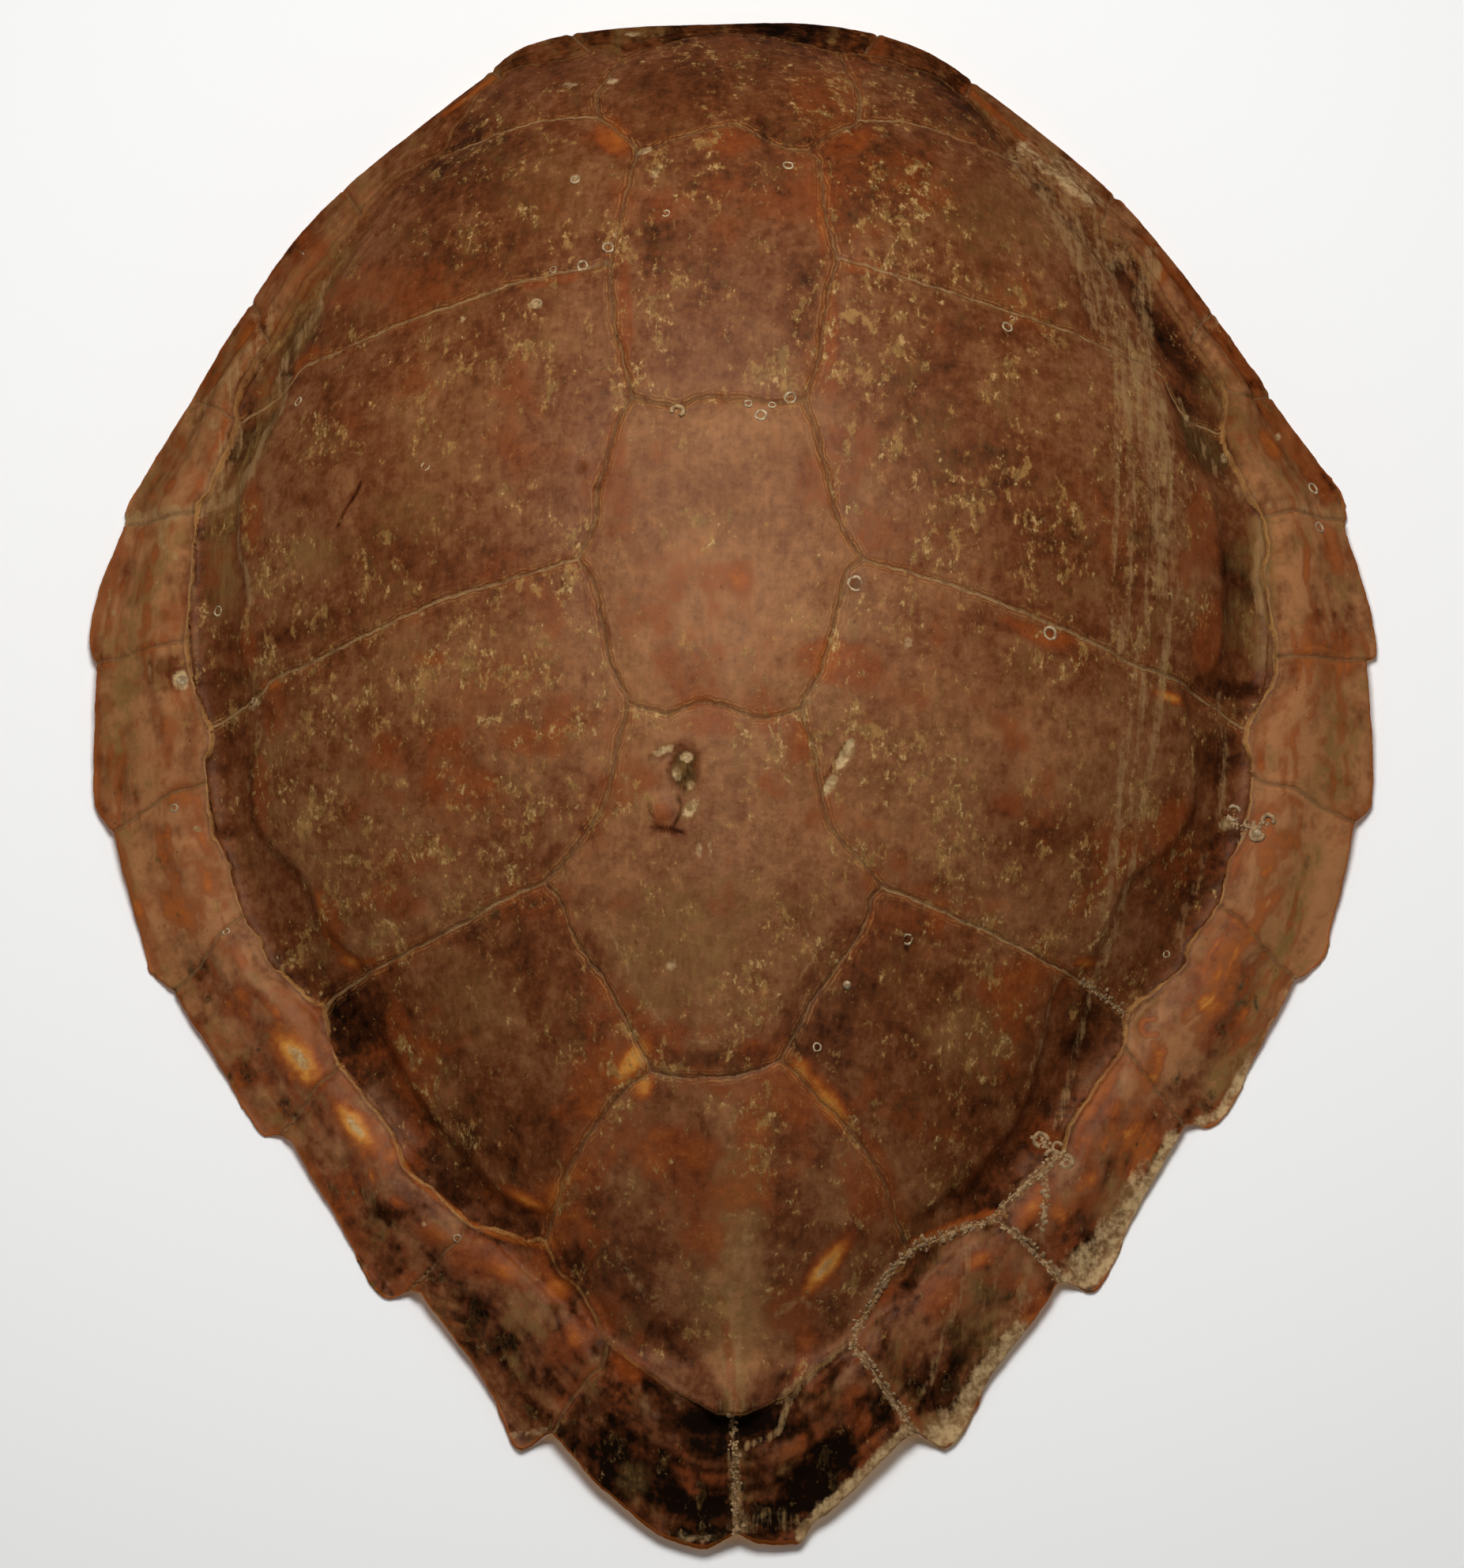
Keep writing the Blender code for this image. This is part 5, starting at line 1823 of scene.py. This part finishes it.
    def seam_lines(self, graph: Graph, colour: Value, streak: Value) -> Value:
        """Seams: a dark crack with silt in it between plates, and a tan cord round the brim, with painted
        shade in their grooves.

        Args:
            graph: where the nodes go.
            colour: the horn's colour.
            streak: fine streaks that break the lines up.

        Returns:
            The colour with the seams drawn in.
        """
        sway = (streak - 0.5) * 2.2
        seam, brim = graph.kept("seam_mm") + sway, graph.kept("brim_mm") + sway
        filled = seam.ramp(1.15, 0.55) * streak.ramp(0.3, 0.55, 0.4, 1.0) * graph.kept("seam_silt")
        cord = brim.ramp(1.20, 0.55) * streak.ramp(0.3, 0.6, 0.40, 0.95) * graph.kept("cord")
        # dark beside each seam: the crack's own dark and painted shade in its groove; the dark either side of
        # the brim's cord is painted shade
        for share, cover in ((seam.ramp(1.7, 0.5, 0.0, 0.40), self.deep), (filled, self.silt),
                             (brim.ramp(3.0, 1.2, 0.0, 0.30), self.deep), (cord, self.line)):
            colour = colour.under(share, cover)
        return colour


@dataclass(frozen=True)
class BoneFinish:
    """Dry bone of the underside: ivory tan, stained, porous, with fine sutures."""

    ivory: tuple = rgb(190, 160, 112)
    stain: tuple = rgb(120, 84, 50)
    pore: tuple = rgb(86, 60, 38)
    roughness: float = 0.72

    def material(self, flakes: Tree, grain: Tree) -> Material:
        """Builds the material.

        Args:
            flakes: the group of torn flakes.
            grain: the group of fine grain.

        Returns:
            The material.
        """
        made, graph, surface = new_material("bone")
        place = graph.place()
        broad = graph.noise(place, 14.0, 5.0, 0.6, 0.6)
        fine = graph.group(grain, {"Place": place})
        pores = graph.group(flakes, {"Place": place, "Flake scale": 520.0,
                                     "Amount": broad.ramp(0.3, 0.7, 0.2, 0.7)})
        stained = graph.calc("ADD", broad.ramp(0.42, 0.75), fine["Tone"] * 0.5, True)
        colour = graph.mix(stained, self.ivory, self.stain).under(graph.kept("suture") * 0.8, self.stain)
        graph.feed(surface, {
            "Base Color": colour.under(pores["Mask"] * 0.5, self.pore),
            "Roughness": fine["Tone"] * 0.15 + self.roughness,
            "Normal": graph.bump(fine["Height"] - pores["Mask"] * 0.2, 0.8)})
        return made


@dataclass(frozen=True)
class LimeFinish:
    """Chalky lime or caked silt, mottled and matt."""

    name: str
    pale: tuple
    dull: tuple
    roughness: float = 0.82

    def material(self, grain: Tree) -> Material:
        """Builds the material.

        Args:
            grain: the group of fine grain.

        Returns:
            The material.
        """
        made, graph, surface = new_material(self.name)
        place = graph.place()
        fine = graph.group(grain, {"Place": place, "Coarse scale": 260.0, "Fine scale": 1400.0})
        mottled = graph.calc("ADD", graph.noise(place, 330.0, 3.0).ramp(0.38, 0.62), fine["Tone"], True)
        graph.feed(surface, {"Base Color": graph.mix(mottled, self.pale, self.dull),
                             "Roughness": fine["Tone"] * 0.1 + self.roughness,
                             "Normal": graph.bump(fine["Height"], 0.6)})
        return made


def dress(piece: Piece, material: Material) -> None:
    """Gives a piece its material and tells the frame what it is.

    Args:
        piece: the finished piece.
        material: its material.
    """
    piece.data.materials.clear()
    piece.data.materials.append(material)
    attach(piece, BODY)
    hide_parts(CAD_NODE)
    LOG.info("%s: %d faces", piece.name, len(piece.data.polygons))


# ---- the bone under the horn ----
@dataclass
class ShellBone:
    """The bony shell: backbone, ribs and plain wall, seen from below."""

    surface: ShellSurface
    scutes: ScuteMap
    cells: int = 216
    tuck: float = 0.009            # how far it runs on inside the brim's plates
    sunk: float = 5.2 * MM         # its outer face lies this far under the horn's
    suture_width: float = 1.5 * MM
    joint_spacing: float = 0.0325  # between the narrow places of the backbone
    under_wall: float = 0.8 * MM   # its inner face lies this far inside the CAD part's
    least: float = 1.0 * MM        # it is nowhere thinner
    off_floor: float = 0.2 * MM

    def thickness(self, x: Array, y: Array) -> tuple[Array, Array]:
        """How thick the wall is, and where sutures run.

        Args:
            x, y: plan points.

        Returns:
            The wall in metres, and from 0 to 1 how much each point lies on a suture.
        """
        form = self.surface.form
        first, last = form.rib_spine_y[0] + form.spine_overhang, form.rib_spine_y[-1] - form.spine_overhang
        sway = 0.0012 * cloudy(x / 0.006, y / 0.006, 611, 2)
        spine = self.from_line(x, y, (0.0, first), (0.0, last))
        joint = 0.5 + 0.5 * np.cos(2 * math.pi * (y - first) / self.joint_spacing)
        ridge = np.exp(-((spine / form.spine_half_width) ** 2)) * (1.0 - 0.22 * joint ** 6)
        suture = np.exp(-((spine - form.spine_half_width * 1.5 + sway) / self.suture_width) ** 2)
        ends = []
        for spine_y, degrees in zip(form.rib_spine_y, form.rib_end_bearing):
            for side in (-1, 1):
                bearing = side * math.radians(degrees)
                reach = form.rib_reach * float(self.surface.brim.reach(np.array([bearing]))[0])
                end = (reach * math.sin(bearing), form.crown_y + reach * math.cos(bearing))
                gap = self.from_line(x, y, (0.0, spine_y), end)
                ridge = np.maximum(ridge, form.rib_relief * np.exp(-((gap / form.rib_half_width) ** 2)))
                ends.append((side, spine_y, end))
        for (side, y_a, end_a), (_, y_b, end_b) in zip(ends[:-2], ends[2:]):
            start = (side * form.spine_half_width * 1.5, (y_a + y_b) / 2)
            gap = self.from_line(x, y, start, ((end_a[0] + end_b[0]) / 2, (end_a[1] + end_b[1]) / 2))
            suture = np.maximum(suture, np.exp(-((gap + sway) / self.suture_width) ** 2))
        return form.wall + (form.spine_wall - form.wall) * ridge, suture

    @staticmethod
    def from_line(x: Array, y: Array, start: tuple, end: tuple) -> Array:
        """How far plan points are from a straight stretch.

        Args:
            x, y: the points.
            start, end: the stretch's ends.

        Returns:
            Their distances.
        """
        run = np.subtract(end, start)
        along = np.clip(((x - start[0]) * run[0] + (y - start[1]) * run[1]) / run.dot(run), 0.0, 1.0)
        return np.hypot(x - start[0] - along * run[0], y - start[1] - along * run[1])

    def build(self, material: Material) -> None:
        """Builds and dresses the bone.

        Args:
            material: its material.
        """
        a, b, quads = disc_grid(self.cells)
        bearing = np.arctan2(a, b)
        reach = self.scutes.brim.smoothed(40).reach(bearing) + self.tuck
        radius = np.minimum(np.hypot(a, b), 1.0) * reach
        x, y = from_polar(bearing, radius, self.surface.form.crown_y)
        face = np.column_stack((x, y, self.surface.height(x, y)))
        normal = grid_directions(face)
        thick, suture = self.thickness(x, y)
        top = face - normal * self.sunk
        bottom = face - normal * (thick + self.under_wall)[:, None]
        gap = np.minimum(np.linalg.norm(top - bottom, axis=1), 1.0)
        top += normal * np.clip(self.least - gap, 0.0, None)[:, None]
        bottom[:, 2] = np.maximum(bottom[:, 2], self.off_floor)
        count = len(face)
        start, end = border_of(quads, count).T
        walls = np.column_stack((start, start + count, end + count, end))
        faces = np.concatenate((quads, quads[:, ::-1] + count, walls))
        values = {"suture": np.concatenate((np.zeros(count), suture))}
        piece = mesh_object("shell_bone", np.concatenate((top, bottom)), faces, values,
                            np.column_stack((start, end)))
        dress(piece, material)


# ---- what grew on the shell ----
# Barnacle scars, lime domes and worm tubes: column, row and half width in pixels.
RINGS = rows("""
    769 310 6.5, 736 332 6, 1274 411 6.5, 1281 400 3, 842 268 4.5, 997 206 6, 1000 503 6.5, 978 510 4.5,
    963 525 6.5, 948 508 4.5, 377 505 5.5, 271 771 6, 222 1022 4.5, 1480 1205 4.5, 1036 1322 5, 728 225
    5.5, 540 588 6, 288 1175 4.5, 582 1565 4.5, 1562 1025 9, 1668 613 7, 1673 662 6.5, 1148 1188 6.5,
    1556 573 3.5, 1083 735 9, 700 338 3.5, 1330 800 8
""")
SHELLS = rows("1072 1243 7, 228 858 8, 1591 1055 7")
CURLS = rows("""
    1591 1054 8, 1602 1037 7, 1580 1040 6, 1568 1058 6, 1316 1437 8.5, 1330 1457 7, 1349 1466 8, 1338
    1446 6, 857 518 7.5, 316 886 5, 678 384 6
""")
GRIT_LINES = (
    BRIM_CUTS_RIGHT[11], BRIM_CUTS_RIGHT[10], TAIL_CUT,
    *map(rows, ("1345 1455, 1303 1490, 1272 1517, 1236 1545, 1208 1555, 1151 1581, 1117 1620, 1088 1671, "
                "1076 1692",
                "1318 1480, 1322 1510, 1316 1550", "1428 1280, 1401 1260, 1373 1242",
                "1556 1030, 1576 1045, 1600 1042", "1312 1432, 1332 1452, 1352 1464")))


def points_object(name: str, places: Array, facing: Array, size: Array) -> Piece:
    """Loose points for things to grow on.

    Args:
        name: the piece's name.
        places: rows of x, y, z.
        facing: the direction in which each thing grows.
        size: how large each is.

    Returns:
        The points, linked to the scene.
    """
    mesh = bpy.data.meshes.new(name)
    mesh.from_pydata(places.tolist(), [], [])
    mesh.attributes.new("facing", "FLOAT_VECTOR", "POINT").data.foreach_set(
        "vector", facing.astype(np.float32).ravel())
    mesh.attributes.new("size", "FLOAT", "POINT").data.foreach_set("value", size.astype(np.float32))
    return linked(name, mesh)


def grown(points: Piece, tree: Tree, given: dict) -> Piece:
    """Runs a tree on points and keeps the result as a plain mesh.

    Args:
        points: the points, which are used up.
        tree: the Geometry Nodes tree.
        given: values for its named inputs.

    Returns:
        A mesh object of the same name.
    """
    modifier = points.modifiers.new("growth", "NODES")
    modifier.node_group = tree
    for item in tree.interface.items_tree:
        if item.in_out == "INPUT" and item.name in given:
            modifier[item.identifier] = given[item.name]
    bpy.context.view_layer.update()
    evaluated = points.evaluated_get(bpy.context.evaluated_depsgraph_get())
    mesh = bpy.data.meshes.new_from_object(evaluated)
    points.modifiers.remove(modifier)
    name = points.name
    bpy.data.objects.remove(points, do_unlink=True)
    mesh.name = name
    mesh.shade_smooth()
    return linked(name, mesh)


class GrowthTree:
    """A Geometry Nodes tree that sets one shape on each point and makes the whole uneven."""

    def __init__(self, name: str, numbers: dict[str, float]) -> None:
        """Starts the tree.

        Args:
            name: its name.
            numbers: the first values of the named inputs that only this tree has.
        """
        self.graph, self.given, self.out = new_group(name, "GeometryNodeTree", {
            "Geometry": "Geometry", **numbers, "Flat": 0.5, "Wobble": 0.0008, "Seed": 1,
            "Material": "Material"}, {"Geometry": "Geometry"})

    def kept(self, name: str, kind: str) -> Value:
        """An attribute that the points carry."""
        return self.graph.value("GeometryNodeInputNamedAttribute", {"Name": name}, data_type=kind)

    def finish(self, shape: Value, rotation: Value | None, size: Given,
               selection: Value | None = None) -> Tree:
        """Flattens the shape, sets it on the points, and makes the result uneven and dressed.

        Args:
            shape: the shape, about 1 across.
            rotation: how far each is turned on its own axis, if it is.
            size: each point's size.
            selection: which points get a shape, if not all.

        Returns:
            The whole tree.
        """
        graph, given = self.graph, self.given
        scale = graph.value("ShaderNodeCombineXYZ", {0: 1.0, 1: 1.0, 2: given["Flat"]})
        shaped = graph.value("GeometryNodeTransform", {"Geometry": shape, "Scale": scale})
        facing = self.kept("facing", "FLOAT_VECTOR")
        turned = graph.value("FunctionNodeAlignRotationToVector", {"Vector": facing}, axis="Z")
        if rotation:
            turned = graph.value("FunctionNodeRotateRotation", {"Rotation": turned, "Rotate By": rotation},
                                 rotation_space="LOCAL")
        placed = graph.value("GeometryNodeInstanceOnPoints", {
            "Points": given["Geometry"], "Instance": shaped, "Rotation": turned, "Scale": size,
            **({"Selection": selection} if selection else {})})
        whole = graph.value("GeometryNodeRealizeInstances", {"Geometry": placed})
        wobble = graph.value("ShaderNodeTexNoise", {"Scale": 380.0, "Detail": 2.0}, "Color")
        centred = graph.value("ShaderNodeVectorMath", {0: wobble, 1: (0.5, 0.5, 0.5)}, operation="SUBTRACT")
        moved = graph.value("ShaderNodeVectorMath", {0: centred, "Scale": given["Wobble"]}, operation="SCALE")
        uneven = graph.value("GeometryNodeSetPosition", {"Geometry": whole, "Offset": moved})
        graph.feed(self.out, {"Geometry": graph.value("GeometryNodeSetMaterial", {
            "Geometry": uneven, "Material": given["Material"]})})
        return graph.tree


def tube_tree(name: str, sweep: float | None) -> Tree:
    """A tree that sets a bent tube on each point.

    Args:
        name: its name.
        sweep: how many radians the tube runs, or none for a whole ring.

    Returns:
        The tree.
    """
    tree = GrowthTree(name, {"Tube": 0.30})
    graph, given = tree.graph, tree.given
    if sweep is None:
        path = graph.value("GeometryNodeCurvePrimitiveCircle", {"Resolution": 18, "Radius": 1.0})
    else:
        path = graph.value("GeometryNodeCurveArc", {"Resolution": 13, "Radius": 1.0, "Sweep Angle": sweep})
    profile = graph.value("GeometryNodeCurvePrimitiveCircle", {"Resolution": 7, "Radius": given["Tube"]})
    tube = graph.value("GeometryNodeCurveToMesh", {"Curve": path, "Profile Curve": profile,
                                                   "Fill Caps": True})
    spin = graph.value("FunctionNodeRandomValue", {"Min": (0.0, 0.0, 0.0), "Max": (0.0, 0.0, 6.28),
                                                   "Seed": given["Seed"]}, data_type="FLOAT_VECTOR")
    return tree.finish(tube, spin, tree.kept("size", "FLOAT"))


def lump_tree(name: str) -> Tree:
    """A tree that sets a small flattened lump on some of the points.

    Args:
        name: its name.

    Returns:
        The tree.
    """
    tree = GrowthTree(name, {"Least": 0.5, "Most": 1.0, "Chance": 0.7})
    graph, given = tree.graph, tree.given
    lump = graph.value("GeometryNodeMeshUVSphere", {"Segments": 8, "Rings": 5, "Radius": 1.0})
    keep = graph.value("FunctionNodeRandomValue", {"Probability": given["Chance"], "Seed": given["Seed"]}, 3,
                       data_type="BOOLEAN")
    size = graph.value("FunctionNodeRandomValue", {2: given["Least"], 3: given["Most"],
                                                   "Seed": given["Seed"]}, 1, data_type="FLOAT")
    return tree.finish(lump, None, size * tree.kept("size", "FLOAT"), keep)


@dataclass
class LimeGrowth:
    """Rings left by barnacles, curled worm tubes, and grit caked along the seams."""

    grid: FineGrid
    tops: Array
    grit_per_pixel: float = 1.5
    grit_spread: float = 2.7        # pixels
    grit_size: float = 2.8          # pixels

    def grow(self, name: str, growths: Points, tree: Tree, material: Material,
             **given: float) -> None:
        """Grows and dresses one piece.

        Args:
            name: its name.
            growths: column, row and half width of each growth, in pixels.
            tree: what grows.
            material: what it is made of.
            given: the tree's named inputs.
        """
        column, row, reach = np.array(growths).T
        numbers = [self.grid.at_pixel(x, y) for x, y in zip(column, row)]
        facing = grid_directions(self.tops)[numbers]
        points = points_object(name, self.tops[numbers], facing, reach * PIXEL)
        dress(grown(points, tree, {**given, "Material": material}), material)

    def build(self, lime: Material, silt: Material) -> None:
        """Builds and dresses the rings, the curls, the domes and the grit.

        Args:
            lime: the lime's material.
            silt: the caked silt's.
        """
        self.grow("barnacle_rings", RINGS, tube_tree("barnacle_ring", None), lime,
                  Tube=0.25, Flat=0.60, Wobble=0.0012, Seed=4)
        self.grow("worm_tubes", CURLS, tube_tree("worm_curl", 4.6), silt,
                  Tube=0.42, Flat=0.9, Wobble=0.0018, Seed=9)
        self.grow("lime_domes", SHELLS, lump_tree("lime_dome"), lime,
                  Least=0.85, Most=1.0, Chance=1.0, Flat=0.55, Wobble=0.0006, Seed=2)
        self.grow("seam_grit", self.grit(), lump_tree("grit_lump"), silt,
                  Least=0.45, Most=1.2, Chance=0.8, Flat=0.18, Wobble=0.0016, Seed=5)

    def grit(self) -> Points:
        """Caked grains along the lower right seams.

        Returns:
            Each grain's column, row and half width, in pixels.
        """
        draw = np.random.default_rng(71)
        pixels = []
        for line in GRIT_LINES:
            dense = dense_curve(line, closed=False)
            length = run_along(dense)[-1]
            pixels.append(points_along(dense, draw.random(int(length * self.grit_per_pixel)) * length))
        pixels = np.vstack(pixels)
        pixels += draw.normal(0.0, self.grit_spread, pixels.shape)
        return [(x, y, self.grit_size) for x, y in pixels.tolist()]


# ---- floor, light and camera ----
@dataclass
class Studio:
    """A pale floor, soft light from beside the camera, and the photograph's point of view."""

    lens: float = 1500.0            # mm, so long that the view is nearly parallel, as the traces are
    sensor: float = 36.0
    lowered: float = 2.0            # pixels, evens out what is left of the perspective
    floor_half: float = 14.0
    paper: tuple = (0.92, 0.92, 0.91)
    key_power: float = 30.0
    fill_power: float = 2.5
    low_power: float = 11.0         # from under the floor, which lets light up through
    sky: float = 0.11

    def floor(self) -> None:
        """Lays the floor; seen from below it is clear, so that the underside can be looked at."""
        bpy.ops.mesh.primitive_plane_add(size=2 * self.floor_half, location=(0.0, 0.0, -0.0002))
        plane = bpy.context.active_object
        plane.name, plane.visible_shadow = "studio_floor", False
        made, graph, surface = new_material("paper")
        graph.feed(surface, {"Base Color": (*self.paper, 1.0), "Roughness": 0.9})
        behind = graph.value("ShaderNodeNewGeometry", output="Backfacing")
        clear = graph.value("ShaderNodeBsdfTransparent")
        both = graph.value("ShaderNodeMixShader", {0: behind, 1: surface.outputs[0], 2: clear})
        graph.feed(made.node_tree.nodes["Material Output"], {"Surface": both})
        plane.data.materials.append(made)

    def lamp(self, name: str, place: tuple, power: float, size: float) -> None:
        """Hangs a square soft lamp that looks at the middle of the shell.

        Args:
            name: its name.
            place: where it hangs.
            power: its power, in watts.
            size: its side, in metres.
        """
        light = bpy.data.lights.new(name, "AREA")
        light.energy, light.size = power, size
        lamp = linked(name, light)
        place = np.array(place)
        aim = np.array((0.0, 0.0, 0.08)) - place
        lamp.location = place
        pitch = math.acos(-aim[2] / np.linalg.norm(aim))
        lamp.rotation_euler = (pitch, 0.0, math.atan2(-aim[0], aim[1]))

    def lights(self) -> None:
        """Hangs the lamps and sets the sky."""
        self.lamp("key", (-0.05, 0.50, 1.75), self.key_power, 0.8)
        self.lamp("left", (-1.8, -0.3, 1.3), self.fill_power, 1.2)
        self.lamp("right", (1.8, -0.3, 1.3), self.fill_power, 1.2)
        self.lamp("low", (0.0, 0.0, -1.2), self.low_power, 1.0)
        world = bpy.data.worlds.new("sky")
        world.use_nodes = True
        Graph(world.node_tree).feed(world.node_tree.nodes["Background"],
                                    {"Color": (1.0, 1.0, 1.0, 1.0), "Strength": self.sky})
        bpy.context.scene.world = world

    def camera(self) -> None:
        """Puts the camera on the photograph's line of sight, framed as the photograph is."""
        data = bpy.data.cameras.new("camera")
        data.lens, data.sensor_width = self.lens, self.sensor
        seen = -(IMAGE_HIGH / 2 - self.lowered) * PIXEL - VIEW_SHIFT
        rise, run = math.sin(VIEW_TILT), math.cos(VIEW_TILT)
        off = (0.01 - seen * rise) / run
        aim = np.array((((IMAGE_WIDE / 2) - VIEW_MIDDLE_X) * PIXEL, seen * run - off * rise,
                        seen * rise + off * run))
        back = IMAGE_HIGH * PIXEL * self.lens / self.sensor
        data.clip_start, data.clip_end = 0.5, 3 * back
        camera = linked("camera", data)
        camera.location = aim + back * np.array((0.0, -rise, run))
        camera.rotation_euler = (VIEW_TILT, 0.0, 0.0)
        bpy.context.scene.camera = camera

    def build(self) -> None:
        """Sets the whole stage."""
        bpy.context.scene.view_settings.view_transform = "Standard"
        self.floor()
        self.lights()
        self.camera()


def main() -> None:
    """Builds the shell piece by piece, then the stage round it."""
    logging.basicConfig(level=logging.INFO, format="%(name)s: %(message)s")
    surface = ShellSurface(ShellForm())
    scutes = ScuteMap(surface)
    grid = FineGrid(surface, scutes, cells=560)
    LOG.info("grid laid: %d faces", len(grid.faces))
    flakes, grain = fleck_group(), grain_group()
    tops = HornPlates().build(grid, all_plates(), HornFinish().material(flakes, grain))
    ShellBone(surface, scutes).build(BoneFinish().material(flakes, grain))
    lime = LimeFinish("lime", rgb(184, 162, 126), rgb(130, 104, 72)).material(grain)
    silt = LimeFinish("caked_silt", rgb(164, 131, 89), rgb(126, 96, 62)).material(grain)
    LimeGrowth(grid, tops).build(lime, silt)
    Studio().build()


if __name__ == "__main__":
    main()
